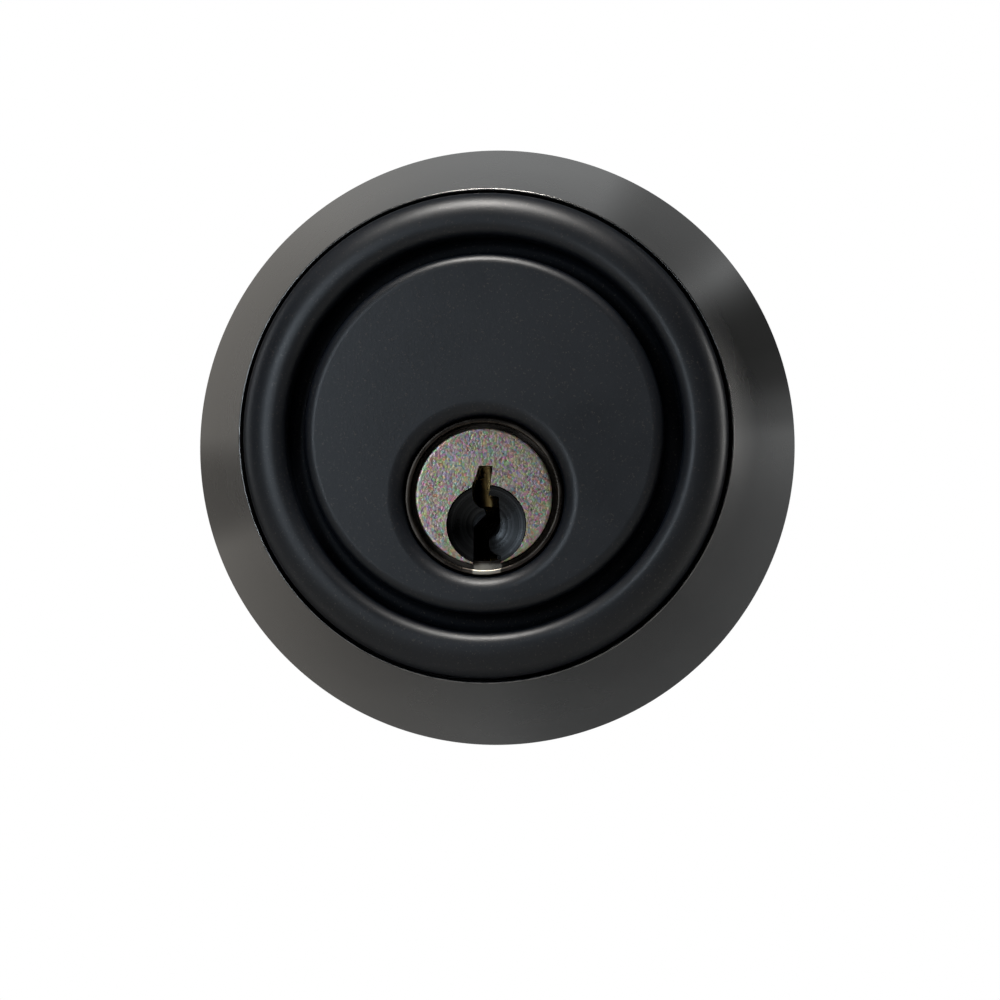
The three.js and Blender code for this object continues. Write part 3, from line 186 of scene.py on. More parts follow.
def inside(points, loop):
    """True for each point that a closed outline holds, by counting crossings to its right."""
    a, b = loop, np.roll(loop, -1, axis=0)
    u, v = points[:, :1], points[:, 1:]
    spans = (a[:, 1] > v) != (b[:, 1] > v)
    rise = np.where(b[:, 1] == a[:, 1], 1e-12, b[:, 1] - a[:, 1])
    crossing = a[:, 0] + (v - a[:, 1]) * (b[:, 0] - a[:, 0]) / rise
    return (spans & (u < crossing)).sum(axis=1) % 2 == 1


# ------------------------------------------------------------------ edge profiles: [offset, w] points
def edge_profile(low, high, low_round, high_round, points=5):
    """A straight wall from w = low to w = high whose two edges are quarter circles."""
    first = arc(-low_round, low + low_round, low_round, 270, 360, points)
    last = arc(-high_round, high - high_round, high_round, 0, 90, points)
    return np.concatenate([first, last])


def hole_profile(low, high, edge, points=4):
    """The wall of a hole, its edges rounded away from the hole."""
    first = arc(edge, low + edge, edge, 270, 180, points)
    last = arc(edge, high - edge, edge, 180, 90, points)
    return np.concatenate([first, last])


AXES = {
    "X": lambda p: np.stack([p[..., 2], p[..., 0], p[..., 1]], axis=-1),
    "Y": lambda p: np.stack([p[..., 0], p[..., 2], p[..., 1]], axis=-1),
    "Z": lambda p: p,
}


def linked(name, data):
    """A new object in the scene."""
    made = bpy.data.objects.new(name, data)
    bpy.context.scene.collection.objects.link(made)
    return made


class Surface:
    """Collects the grids of one piece. A grid's points are [u, v, w], with w along the piece's axis."""

    def __init__(self, axis="Y"):
        self.place = AXES[axis]
        self.points = []
        self.faces = []
        self.slots = []
        self.count = 0

    def put(self, points, faces, slot=0):
        self.points.append(self.place(np.asarray(points, dtype=float).reshape(-1, 3)))
        self.faces.append(np.asarray(faces) + self.count)
        self.slots.append(np.full(len(faces), slot))
        self.count += len(self.points[-1])

    def grid(self, rows, closed=False, slot=0):
        """Quads between neighbouring closed loops. rows has the shape (rows, points, 3)."""
        r, n = rows.shape[:2]
        index = np.arange(r * n).reshape(r, n)
        upper = np.roll(index, -1, axis=0) if closed else index[1:]
        lower = index if closed else index[:-1]
        beside = [np.roll(lower, -1, axis=1), np.roll(upper, -1, axis=1)]
        self.put(rows, np.stack([lower, beside[0], beside[1], upper], axis=-1).reshape(-1, 4), slot)

    def cap(self, row):
        """Closes a loop with a fan to its middle."""
        n = len(row)
        index = np.arange(n)
        faces = np.stack([index, np.roll(index, -1), np.full(n, n)], axis=-1)
        self.put(np.concatenate([row, [row.mean(axis=0)]]), faces)

    def flat(self, loops, w, slot=0):
        """A flat face at height w: the first outline with the others cut out of it."""
        made, faces = triangulated(loops)
        middle = made[faces].mean(axis=1)
        keep = inside(middle, loops[0])
        for hole in loops[1:]:
            keep &= ~inside(middle, hole)
        faces = faces[keep]
        level = np.full((len(made), 1), w)
        self.put(np.concatenate([made, level], axis=1), faces, slot)

    def turned(self, profile, points=ROUND, centre=(0.0, 0.0), closed=False, slot=0):
        """A profile of [radius, w] carried round a centre [u, v], or round one centre for each of its points.
        A closed profile goes back to its start, and any other starts and ends on the axis."""
        profile = np.asarray(profile, dtype=float)
        centres = np.broadcast_to(np.asarray(centre, dtype=float), (len(profile), 2))
        rows = np.empty((len(profile), points, 3))
        rows[..., :2] = profile[:, None, :1] * circle(1.0, points) + centres[:, None, :]
        rows[..., 2] = profile[:, 1:]
        self.grid(rows, closed=closed, slot=slot)

    def solid(self, outline, profile, holes=(), pockets=(), slot=0):
        """An outline offset by each [offset, w] of its profile. Holes and pockets are (outline, profile) too: a
        hole goes through, and a pocket is let into the face that the profile starts from and has a flat floor."""
        fronts, backs = [], []
        for number, (loop, steps) in enumerate([(outline, profile), *holes, *pockets]):
            offsets = outward(loop)
            rows = np.empty((len(steps), len(loop), 3))
            rows[..., :2] = loop + np.asarray(steps)[:, None, :1] * offsets
            rows[..., 2] = np.asarray(steps)[:, 1:]
            self.grid(rows, slot=slot)
            fronts.append(rows[0, :, :2])
            if number <= len(holes):
                backs.append(rows[-1, :, :2])
            else:
                self.flat([rows[-1, :, :2]], steps[-1][1], slot)
        self.flat(fronts, profile[0][1], slot)
        self.flat(backs, profile[-1][1], slot)

    def join(self, other):
        """Takes in the grids of another surface, which may have another axis."""
        self.faces += [faces + self.count for faces in other.faces]
        self.points += other.points
        self.slots += other.slots
        self.count += other.count

    def faces_of(self, corners):
        """All the faces with that many corners, and their slots."""
        picked = [(f, s) for f, s in zip(self.faces, self.slots) if f.shape[1] == corners]
        if not picked:
            return np.zeros((0, corners), int), np.zeros(0, int)
        return np.concatenate([f for f, _ in picked]), np.concatenate([s for _, s in picked])

    def mesh(self, name):
        """All the grids welded into one closed mesh whose faces look outward."""
        mesh = bpy.data.meshes.new(name)
        triangles = self.faces_of(3)
        quads = self.faces_of(4)
        mesh.from_pydata(np.concatenate(self.points), [], [*triangles[0].tolist(), *quads[0].tolist()])
        mesh.polygons.foreach_set("material_index", np.concatenate([triangles[1], quads[1]]).astype(np.int32))
        build = bmesh.new()
        build.from_mesh(mesh)
        bmesh.ops.remove_doubles(build, verts=build.verts, dist=WELD)
        bmesh.ops.dissolve_degenerate(build, dist=WELD / 2, edges=build.edges)
        bmesh.ops.recalc_face_normals(build, faces=build.faces)
        build.to_mesh(mesh)
        build.free()
        return mesh

    def made(self, name, materials, body, record_slot, nodes):
        """The mesh as a piece that rides on a body and stands for CAD nodes."""
        mesh = self.mesh(name)
        mesh.shade_smooth()
        mesh.set_sharp_from_angle(angle=math.radians(SHARP))
        piece = linked(name, mesh)
        for material in materials:
            mesh.materials.append(material)
        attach(piece, body)
        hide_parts(*nodes)
        weighted = piece.modifiers.new("Face-weighted normals", "WEIGHTED_NORMAL")
        weighted.keep_sharp = True
        return piece


def triangulated(loops):
    """Triangles over several closed outlines that keep their edges: the points and the faces."""
    edges, first = [], 0
    for loop in loops:
        ring = np.arange(first, first + len(loop))
        edges.append(np.stack([ring, np.roll(ring, -1)], axis=1))
        first += len(loop)
    points = [Vector(p) for p in np.concatenate(loops)]
    made = delaunay_2d_cdt(points, np.concatenate(edges).tolist(), [], 0, 1e-9)
    return np.array([tuple(p) for p in made[0]]), np.array(made[2])


# ------------------------------------------------------------------ shader helpers
def give(tree, socket, value):
    """Links an input to another socket, or sets it to a value."""
    if isinstance(value, bpy.types.NodeSocket):
        tree.links.new(value, socket)
    else:
        socket.default_value = value


def node(tree, kind, values=None, **settings):
    """A node with its settings, and its inputs linked to a socket or set to a value."""
    made = tree.nodes.new(kind)
    for name, value in settings.items():
        setattr(made, name, value)
    for name, value in (values or {}).items():
        give(tree, made.inputs[name], value)
    return made


def maths(tree, operation, a, b=0.0):
    """One Math node's value."""
    return node(tree, "ShaderNodeMath", {0: a, 1: b}, operation=operation).outputs[0]


def ramp(tree, value, low, high, to_low=0.0, to_high=1.0):
    """A value taken smoothly from one range to another."""
    values = {"Value": value, "From Min": low, "From Max": high, "To Min": to_low, "To Max": to_high}
    return node(tree, "ShaderNodeMapRange", values, interpolation_type="SMOOTHSTEP").outputs["Result"]


def mix_colour(tree, factor, a, b, blend="MIX"):
    """One colour mixed into another."""
    made = node(tree, "ShaderNodeMix", data_type="RGBA", blend_type=blend)
    for index, value in ((0, factor), (6, a), (7, b)):
        give(tree, made.inputs[index], value)
    return made.outputs[2]


def noise(tree, vector, scale, detail, roughness):
    """One Noise Texture."""
    values = {"Vector": vector, "Scale": scale, "Detail": detail, "Roughness": roughness}
    return node(tree, "ShaderNodeTexNoise", values).outputs["Fac"]


def new_group(name, inputs, outputs):
    """A shader node group. inputs maps each name to its default, or to None for a vector. The outputs are values."""
    tree = bpy.data.node_groups.new(name, "ShaderNodeTree")
    for label, default in inputs.items():
        kind = "NodeSocketVector" if default is None else "NodeSocketFloat"
        socket = tree.interface.new_socket(name=label, in_out="INPUT", socket_type=kind)
        if default is not None:
            socket.default_value = default
    for label in outputs:
        tree.interface.new_socket(name=label, in_out="OUTPUT", socket_type="NodeSocketFloat")
    return tree, tree.nodes.new("NodeGroupInput").outputs, tree.nodes.new("NodeGroupOutput").inputs


def build_specks(name):
    """Tiny round specks of dust. A cell of a Voronoi texture holds one where its random number is high."""
    tree, given, out = new_group(
        name, {"Vector": None, "Scale": 400.0, "Size": 0.12, "Share": 0.05}, ["Mask"]
    )
    values = {"Vector": given["Vector"], "Scale": given["Scale"], "Randomness": 1.0}
    cells = node(tree, "ShaderNodeTexVoronoi", values)
    chance = node(tree, "ShaderNodeSeparateColor", {"Color": cells.outputs["Color"]}).outputs[0]
    picked = maths(tree, "LESS_THAN", chance, given["Share"])
    near = ramp(tree, cells.outputs["Distance"], given["Size"], maths(tree, "MULTIPLY", given["Size"], 0.6))
    tree.links.new(maths(tree, "MULTIPLY", picked, near), out["Mask"])
    return tree


def build_patches(name):
    """Broad uneven patches, such as handling marks, between 0 and 1."""
    tree, given, out = new_group(
        name, {"Vector": None, "Scale": 60.0, "Contrast": 0.5}, ["Value"]
    )
    broad = noise(tree, given["Vector"], given["Scale"], 4.0, 0.6)
    low = maths(tree, "MULTIPLY", given["Contrast"], 0.5)
    high = maths(tree, "SUBTRACT", 1.0, low)
    tree.links.new(ramp(tree, broad, low, high), out["Value"])
    return tree


def build_grain(name):
    """Fine coat grain: small noise on larger noise, as a height."""
    tree, given, out = new_group(
        name, {"Vector": None, "Scale": 5000.0}, ["Height", "Sparkle"]
    )
    fine = noise(tree, given["Vector"], given["Scale"], 2.0, 0.6)
    coarse = noise(tree, given["Vector"], maths(tree, "MULTIPLY", given["Scale"], 0.22), 2.0, 0.5)
    height = maths(tree, "ADD", maths(tree, "MULTIPLY", fine, 0.6), maths(tree, "MULTIPLY", coarse, 0.4))
    tree.links.new(height, out["Height"])
    tree.links.new(ramp(tree, fine, 0.60, 0.74), out["Sparkle"])
    return tree


def build_turning(name):
    """Lathe marks: noise read along the distance from the Z axis, so that it makes rings."""
    tree, given, out = new_group(name, {"Vector": None, "Scale": 3000.0}, ["Height"])
    split = node(tree, "ShaderNodeSeparateXYZ", {"Vector": given["Vector"]}).outputs
    flat = node(tree, "ShaderNodeCombineXYZ", {"X": split["X"], "Y": split["Y"]}).outputs[0]
    distance = node(tree, "ShaderNodeVectorMath", {0: flat}, operation="LENGTH").outputs["Value"]
    along = node(tree, "ShaderNodeCombineXYZ", {"X": distance, "Y": maths(tree, "MULTIPLY", split["Z"], 0.02)})
    tree.links.new(noise(tree, along.outputs[0], given["Scale"], 3.0, 0.7), out["Height"])
    return tree


def build_drawing(name):
    """Fine scratches along Z: noise squeezed along that axis."""
    tree, given, out = new_group(name, {"Vector": None, "Scale": 2500.0}, ["Height"])
    squeezed = node(tree, "ShaderNodeMapping", {"Vector": given["Vector"], "Scale": (1.0, 1.0, 0.03)}).outputs[0]
    tree.links.new(noise(tree, squeezed, given["Scale"], 3.0, 0.65), out["Height"])
    return tree


def build_edges(name):
    """Convex edges: how far the shape's rounded normal is from its own normal, broken up by noise. Bare metals use it
    for wear, and the satin coat uses it for painted shade.
    """
    tree, given, out = new_group(
        name, {"Vector": None, "Width": 0.0004, "Breakup": 900.0}, ["Mask"]
    )
    rounded = node(tree, "ShaderNodeBevel", {"Radius": given["Width"]}, samples=6).outputs[0]
    own = node(tree, "ShaderNodeNewGeometry").outputs["Normal"]
    agree = node(tree, "ShaderNodeVectorMath", {0: rounded, 1: own}, operation="DOT_PRODUCT").outputs["Value"]
    edge = ramp(tree, agree, 0.995, 0.90)
    broken = ramp(tree, noise(tree, given["Vector"], given["Breakup"], 3.0, 0.6), 0.40, 0.62)
    tree.links.new(maths(tree, "MULTIPLY", edge, broken), out["Mask"])
    return tree


GROUPS = {
    "Dust specks": build_specks,
    "Uneven patches": build_patches,
    "Coat grain": build_grain,
    "Lathe marks": build_turning,
    "Drawn scratches": build_drawing,
    "Worn edges": build_edges,
}


def effect(tree, name, place, **values):
    """One of the shared effects, read at a place in a material. It is built the first time it is asked for."""
    made = tree.nodes.new("ShaderNodeGroup")
    made.node_tree = bpy.data.node_groups.get(name) or GROUPS[name](name)
    for label, value in {"Vector": place, **values}.items():
        give(tree, made.inputs[label], value)
    return made.outputs


def new_material(name, metallic=1.0):
    """A material with a Principled shader, and its Object coordinates."""
    material = bpy.data.materials.new(name)
    material.use_nodes = True
    tree = material.node_tree
    shader = tree.nodes["Principled BSDF"]
    shader.inputs["Metallic"].default_value = metallic
    place = node(tree, "ShaderNodeTexCoord").outputs["Object"]
    return material, tree, shader, place


def finish_material(tree, shader, base, roughness, height, strength=0.3, depth=0.00002):
    """Joins the colour, the roughness and the bump to the shader."""
    tree.links.new(base, shader.inputs["Base Color"])
    tree.links.new(roughness, shader.inputs["Roughness"])
    bump = node(tree, "ShaderNodeBump", {"Height": height, "Strength": strength, "Distance": depth})
    tree.links.new(bump.outputs[0], shader.inputs["Normal"])


def rgba(values, gain=1.0):
    """A colour made lighter or darker, with its alpha."""
    return tuple(min(v * gain, 1.0) for v in values) + (1.0,)


def satin_black():
    """Thin satin coat over metal: faint grain, broad patches in its gloss, and convex edges painted nearly black as
    shade.
    """
    base = bpy.context.scene.deadbolt_colours.collar
    material, tree, shader, place = new_material("Satin black")
    patches = effect(tree, "Uneven patches", place, Scale=45.0, Contrast=0.5)["Value"]
    grain = effect(tree, "Coat grain", place, Scale=7000.0)
    edges = effect(tree, "Worn edges", place, Width=0.00035, Breakup=700.0)["Mask"]
    specks = effect(tree, "Dust specks", place, Scale=260.0, Size=0.035, Share=0.02)["Mask"]
    shade = mix_colour(tree, patches, rgba(base, 0.9), rgba(base, 1.1))
    # Painted shade: convex edges, broken up by noise, go nearly black.
    painted_lighting = mix_colour(tree, edges, shade, rgba(base, 0.1))
    dusty = mix_colour(tree, maths(tree, "MULTIPLY", specks, 0.5), painted_lighting, (0.45, 0.43, 0.40, 1.0))
    rough = ramp(tree, patches, 0.0, 1.0, 0.255, 0.28)
    finish_material(tree, shader, dusty, rough, grain["Height"], 0.12, 0.00001)
    return material


def powder_black():
    """Matt powder coat: a fine orange peel that sparkles, faint bluish patches and specks of dust. Its gloss fades at
    grazing angles and is cut in the groove as painted shade.
    """
    base = bpy.context.scene.deadbolt_colours.housing
    material, tree, shader, place = new_material("Powder black", 0.0)
    patches = effect(tree, "Uneven patches", place, Scale=70.0, Contrast=0.55)["Value"]
    grain = effect(tree, "Coat grain", place, Scale=4200.0)
    specks = effect(tree, "Dust specks", place, Scale=150.0, Size=0.03, Share=0.035)["Mask"]
    fine = effect(tree, "Dust specks", place, Scale=700.0, Size=0.07, Share=0.012)["Mask"]
    shade = mix_colour(tree, patches, rgba(base, 0.85), rgba(base, 1.15))
    glint = mix_colour(tree, maths(tree, "MULTIPLY", grain["Sparkle"], 0.30), shade, (0.10, 0.085, 0.07, 1.0))
    dust = maths(tree, "MAXIMUM", maths(tree, "MULTIPLY", specks, 0.8), maths(tree, "MULTIPLY", fine, 0.35))
    dusty = mix_colour(tree, dust, glint, (0.50, 0.49, 0.46, 1.0))
    rough = maths(
        tree, "SUBTRACT", ramp(tree, patches, 0.0, 1.0, 0.40, 0.46), maths(tree, "MULTIPLY", grain["Sparkle"], 0.12)
    )
    # Gloss fades at grazing angles. Painted shade: from 1.5 mm to 9 mm behind the housing's front, gloss drops to a
    # fifth, which darkens the groove.
    facing = node(tree, "ShaderNodeLayerWeight", {"Blend": 0.5}).outputs["Facing"]
    split = node(tree, "ShaderNodeSeparateXYZ", {"Vector": place}).outputs
    front = OUTSIDE - HEAD_HEIGHT
    painted_recess_shade = maths(
        tree,
        "MULTIPLY",
        ramp(tree, split["Y"], front + 0.0015, front + 0.0040),
        ramp(tree, split["Y"], front + 0.0080, front + 0.0090, 1.0, 0.0),
    )
    gloss = maths(tree, "MULTIPLY", ramp(tree, facing, 0.35, 0.70, 0.40, 0.03), ramp(tree, painted_recess_shade, 0.0, 1.0, 1.0, 0.2))
    tree.links.new(gloss, shader.inputs["Specular IOR Level"])
    finish_material(tree, shader, dusty, rough, grain["Height"], 0.55, 0.00003)
    return material


def nickel_plate():
    """Satin nickel over a blasted face: coarse grain whose facets differ in tone and slightly in tint."""
    base = bpy.context.scene.deadbolt_colours.nickel
    material, tree, shader, place = new_material("Satin nickel")
    values = {"Vector": place, "Scale": 3800.0, "Randomness": 1.0}
    facets = node(tree, "ShaderNodeTexVoronoi", values)
    tint = mix_colour(tree, 0.42, rgba(base), facets.outputs["Color"], "OVERLAY")
    patches = effect(tree, "Uneven patches", place, Scale=250.0, Contrast=0.6)["Value"]
    grain = effect(tree, "Coat grain", place, Scale=4200.0)
    edges = effect(tree, "Worn edges", place, Width=0.0002, Breakup=1500.0)["Mask"]
    shade = mix_colour(tree, maths(tree, "MULTIPLY", patches, 0.25), tint, rgba(base, 0.55))
    bright = mix_colour(tree, maths(tree, "MULTIPLY", edges, 0.5), shade, rgba(base, 1.5))
    rough = ramp(tree, grain["Height"], 0.3, 0.7, 0.26, 0.46)
    finish_material(tree, shader, bright, rough, grain["Height"], 1.0, 0.00006)
    return material


def dish_metal():
    """The dish and the key slot: bare dark metal with lathe marks round the dish."""
    base = bpy.context.scene.deadbolt_colours.hardened
    material, tree, shader, place = new_material("Cut metal")
    values = {"Vector": place, "Location": (DISH_CENTRE[0], PLUG_FACE, DISH_CENTRE[1])}
    centred = node(tree, "ShaderNodeMapping", values, vector_type="TEXTURE").outputs[0]
    turned = node(tree, "ShaderNodeMapping", {"Vector": centred, "Rotation": (math.radians(90), 0, 0)}).outputs[0]
    rings = effect(tree, "Lathe marks", turned, Scale=5200.0)["Height"]
    patches = effect(tree, "Uneven patches", place, Scale=400.0, Contrast=0.6)["Value"]
    shade = mix_colour(tree, ramp(tree, rings, 0.4, 0.7), rgba(base, 0.10), rgba(base, 0.30))
    rough = ramp(tree, patches, 0.0, 1.0, 0.22, 0.36)
    finish_material(tree, shader, shade, rough, rings, 0.5, 0.00002)
    return material


def metal(name, tone, roughness, axis="Y", marks="Lathe marks", scale=3000.0, centre=(0.0, 0.0, 0.0)):
    """Bare or plated metal with lathe marks or drawn scratches, patches in its gloss and bright edges."""
    material, tree, shader, place = new_material(name)
    turns = {"X": (0, math.radians(-90), 0), "Y": (math.radians(90), 0, 0), "Z": (0, 0, 0)}
    values = {"Vector": place, "Location": centre}
    centred = node(tree, "ShaderNodeMapping", values, vector_type="TEXTURE").outputs[0]
    turned = node(tree, "ShaderNodeMapping", {"Vector": centred, "Rotation": turns[axis]}).outputs[0]
    height = effect(tree, marks, turned, Scale=scale)["Height"]
    patches = effect(tree, "Uneven patches", place, Scale=130.0, Contrast=0.3)["Value"]
    edges = effect(tree, "Worn edges", place, Width=0.0003, Breakup=900.0)["Mask"]
    shade = mix_colour(tree, patches, rgba(tone, 0.82), rgba(tone, 1.12))
    lined = mix_colour(tree, ramp(tree, height, 0.45, 0.75, 0.0, 0.35), shade, rgba(tone, 0.6))
    bright = mix_colour(tree, maths(tree, "MULTIPLY", edges, 0.4), lined, rgba(tone, 1.4))
    rough = ramp(tree, patches, 0.0, 1.0, roughness, roughness + 0.05)
    finish_material(tree, shader, bright, rough, height)
    return material


def shell_metal():
    """Dark bronze, with a painted highlight below the plug where the key slides in: light falling through the key
    slot.
    """
    base = bpy.context.scene.deadbolt_colours.shell
    material, tree, shader, place = new_material("Shell metal")
    split = node(tree, "ShaderNodeSeparateXYZ", {"Vector": place}).outputs
    # Painted highlight: a patch as wide as the key slot, low on the shell just behind its face, made bright as if lit
    # from above through the slot.
    from_slot = maths(tree, "ABSOLUTE", maths(tree, "SUBTRACT", split["X"], 0.0003))
    beside = ramp(tree, from_slot, 0.0013, 0.0015, 1.0, 0.0)
    below = ramp(tree, split["Z"], PLUG_Z - 0.0066, PLUG_Z - 0.0070)
    near = ramp(tree, split["Y"], PLUG_FACE + 0.004, PLUG_FACE + 0.002)
    painted_lighting = maths(tree, "MULTIPLY", maths(tree, "MULTIPLY", beside, below), near)
    grain = effect(tree, "Coat grain", place, Scale=3500.0)
    patches = effect(tree, "Uneven patches", place, Scale=300.0, Contrast=0.6)["Value"]
    shade = mix_colour(tree, patches, rgba(base, 0.7), rgba(base, 1.4))
    bright = mix_colour(tree, painted_lighting, shade, (0.36, 0.33, 0.28, 1.0))
    rough = ramp(tree, patches, 0.0, 1.0, 0.26, 0.40)
    finish_material(tree, shader, bright, rough, grain["Height"], 0.5, 0.00003)
    return material


def zinc_plate():
    """Bright zinc plate: a faint spread of yellow and blue over mottled steel."""
    base = bpy.context.scene.deadbolt_colours.zinc
    material, tree, shader, place = new_material("Zinc plate")
    patches = effect(tree, "Uneven patches", place, Scale=90.0, Contrast=0.7)["Value"]
    mottle = noise(tree, place, 420.0, 4.0, 0.65)
    grain = effect(tree, "Coat grain", place, Scale=4000.0)
    edges = effect(tree, "Worn edges", place, Width=0.0003, Breakup=900.0)["Mask"]
    bluish = (base[0] * 0.86, base[1] * 0.9, base[2], 1)
    yellowish = (base[0], base[1] * 0.96, base[2] * 0.8, 1)
    warm = mix_colour(tree, patches, bluish, yellowish)
    shade = mix_colour(tree, ramp(tree, mottle, 0.35, 0.7, 0.0, 0.3), warm, rgba(base, 0.6))
    bright = mix_colour(tree, maths(tree, "MULTIPLY", edges, 0.4), shade, rgba(base, 1.3))
    rough = ramp(tree, mottle, 0.3, 0.7, 0.26, 0.44)
    finish_material(tree, shader, bright, rough, grain["Height"], 0.2, 0.00002)
    return material


def nylon():
    """Moulded nylon with a faint grain."""
    base = bpy.context.scene.deadbolt_colours.nylon
    material, tree, shader, place = new_material("Nylon", 0.0)
    patches = effect(tree, "Uneven patches", place, Scale=200.0, Contrast=0.6)["Value"]
    grain = effect(tree, "Coat grain", place, Scale=3000.0)
    shade = mix_colour(tree, patches, rgba(base, 0.92), rgba(base, 1.04))
    shader.inputs["Subsurface Weight"].default_value = 0.1
    shader.inputs["Subsurface Radius"].default_value = (0.001, 0.001, 0.001)
    finish_material(tree, shader, shade, ramp(tree, patches, 0.0, 1.0, 0.42, 0.55), grain["Height"], 0.25, 0.00003)
    return material


MADE = {}


def finish(name):
    """A finish by name, made the first time it is asked for."""
    colours = bpy.context.scene.deadbolt_colours
    makers = {
        "satin_black": satin_black,
        "powder_black": powder_black,
        "nickel": nickel_plate,
        "dish": dish_metal,
        "zinc": zinc_plate,
        "nylon": nylon,
        "brass": lambda: metal("Turned brass", colours.brass, 0.26, "Y", centre=(0, 0, PLUG_Z)),
        "pin_brass": lambda: metal("Pin brass", colours.brass, 0.24, "Z", scale=4000.0),
        "steel": lambda: metal("Plain steel", colours.steel, 0.28, "Y"),
        "drawn_steel": lambda: metal("Drawn steel", colours.steel, 0.26, "Y", "Drawn scratches", 2600.0),
        "hardened": lambda: metal("Hardened steel", colours.hardened, 0.24, "Y"),
        "shell": shell_metal,
        "bolt": lambda: metal("Bolt nickel", colours.nickel, 0.24, "X", "Drawn scratches", 2400.0),
    }
    if name not in MADE:
        MADE[name] = makers[name]()
    return MADE[name]


# ------------------------------------------------------------------ sizes of the hidden mechanism, in metres
SEAT = 0.0003  # between two faces that rest on each other
RUN = 0.00015  # round a shaft that turns
CORNER = 0.0003  # small rounding on turned and pressed edges
BORE_RADIUS = 0.0065
CHAMBER_RADIUS = 0.0016
PLUG_BODY_RADIUS = 0.00635
PLUG_FLANGE = 0.0016  # thickness of the plug's wider face
FIRST_PIN = 0.0062  # from the plug's face to the middle of the first pin
PIN_PITCH = 0.00396
PIN_COUNT = 5
BIBLE_HALF = 0.0038  # half the width of the block over the plug that holds the pins
SHELL_MOUTH = 0.00745
FLANGE_HEIGHT = 0.005
FLANGE_THICKNESS = 0.002
CAM_HUB_RADIUS = 0.0042
BLADE_HALF_HEIGHT = 0.003
BLADE_HALF_THICKNESS = 0.0009
SCREW_HEAD = 0.0044
TAIL_GAP = 0.0015
TAIL_PLATE = 0.0016
CASE_INSIDE = 0.0112
DISH_CENTRE = (0.00025, PLUG_Z - 0.00285)
DISH_WALL = 0.00012  # width of the steep wall round the dish
WARD = (1.6, -4.75, 1.15, 116, 244)  # the slot's round ward: centre, radius and angles, in millimetres and degrees
LUG_OUTER, LUG_INNER = 0.0046, 0.0024  # radii of the lugs of plug and tailpiece that drive each other
POST_RADIUS = 0.0041  # the two posts behind the cylinder housing
SCREW_ROOM = 0.0026  # radius of a hole that a mounting screw passes through
BOSS_RADIUS = 0.0128
TOWER_WALL = 0.002  # of the boss, round the block that holds the pins
TOWER_ROOM = 0.0008  # over the block
BLOCK_FRONT = 0.0166  # from the door out to the front of the block
BLOCK_EDGE = 0.0001
GROOVE_FILLET = 0.42  # radius of the groove's lower corners, as a share of its width
EDGE = 0.0002  # rounding on plates and pins, and the lap of one part into another
BOLT_THROW = 0.0254
CAM_PIN_RADIUS = 0.0018
BARREL_WALL = 0.0009
ROSE_WALL = 0.0016
PLATE_HOLE = 0.0094  # radius of the mounting plate's middle hole
COIL_WIRE = 0.00015  # radius of the pin springs' wire
COIL_TURNS = 4
COIL_STEPS = 24  # points along each turn
WIRE_POINTS = 8  # points round the wire


def sizes():
    return bpy.context.scene.deadbolt_sizes


def rectangle(u0, u1, v0, v1, corner=CORNER, points=5):
    """A rounded rectangle between two corners."""
    middle = ((u0 + u1) / 2, (v0 + v1) / 2)
    return rounded_rectangle(u1 - u0, v1 - v0, corner, middle, points)


def plug_height(points):
    """How far each point of the plug's face lies behind its front: a round chamfer at its rim, and a dish
    with a short steep wall and a shallow cone."""
    s = sizes()
    edge = s.plug_edge
    from_axis = np.hypot(points[:, 0], points[:, 1] - PLUG_Z)
    rim = np.clip(from_axis - (PLUG_RADIUS - edge), 0.0, edge)
    chamfer = edge - np.sqrt(np.maximum(edge * edge - rim * rim, 0.0))
    from_dish = np.hypot(points[:, 0] - DISH_CENTRE[0], points[:, 1] - DISH_CENTRE[1])
    wall = s.dish_depth / 3
    cone = wall + (s.dish_depth - wall) * (1 - from_dish / (s.dish_radius - DISH_WALL))
    steep = wall * (s.dish_radius - from_dish) / DISH_WALL
    dish = np.clip(np.minimum(steep, cone), 0.0, None)
    return np.maximum(chamfer, dish)


def keyway_side_points():
    """The warded slot from the bottom left, over its top, to the bottom right, about the plug's axis."""
    points = [
        [[-1.1, -3.0], [0.15, -1.75]],
        arc(0.1, 0.1, 1.3, 263, 180, 9),
        [[-1.2, 1.2], [-0.85, 1.95], [-0.5, 3.1], [0.9, 3.1], [0.7, 1.25], [0.4, 0.15], [1.45, 0.0], [1.6, -2.5]],
        arc(*WARD, 13),
        [[1.7, -6.0]],
    ]
    return np.concatenate([np.asarray(part) for part in points]) * MM


def slotted_round(radius, path, left, right, points=FINE):
    """A round outline about the plug's axis that a path opens from below, between two values of u."""
    start = math.atan2(-math.sqrt(radius**2 - right**2), right)
    end = 2 * math.pi + math.atan2(-math.sqrt(radius**2 - left**2), left)
    t = np.linspace(start, end, points)
    outer = np.stack([radius * np.cos(t), radius * np.sin(t)], axis=1)
    return np.concatenate([outer, path]) + np.array(PLUG_AXIS)


def relief(surface, outline, rings, height, front, back, slot_of):
    """A prism whose front face is let in by height(points). The face is triangulated over the outline and the
    rings, and the wall is drawn from the face's own border, so that the two share every point."""
    made, faces = triangulated([outline, *rings])
    middle = made[faces].mean(axis=1)
    keep = inside(middle, outline)
    faces, middle = faces[keep], middle[keep]
    top = np.concatenate([made, (front + height(made))[:, None]], axis=1)
    base = np.concatenate([made, np.full((len(made), 1), back)], axis=1)
    picked = slot_of(middle)
    for number in np.unique(picked):
        surface.put(top, faces[picked == number], int(number))
    surface.put(base, faces)
    sides = np.concatenate([faces[:, [0, 1]], faces[:, [1, 2]], faces[:, [2, 0]]])
    _, where, count = np.unique(np.sort(sides, axis=1), axis=0, return_index=True, return_counts=True)
    border = sides[where[count == 1]]
    n = len(made)
    wall = np.stack([border[:, 0], border[:, 1], border[:, 1] + n, border[:, 0] + n], axis=1)
    surface.put(np.concatenate([top, base]), wall, 1)


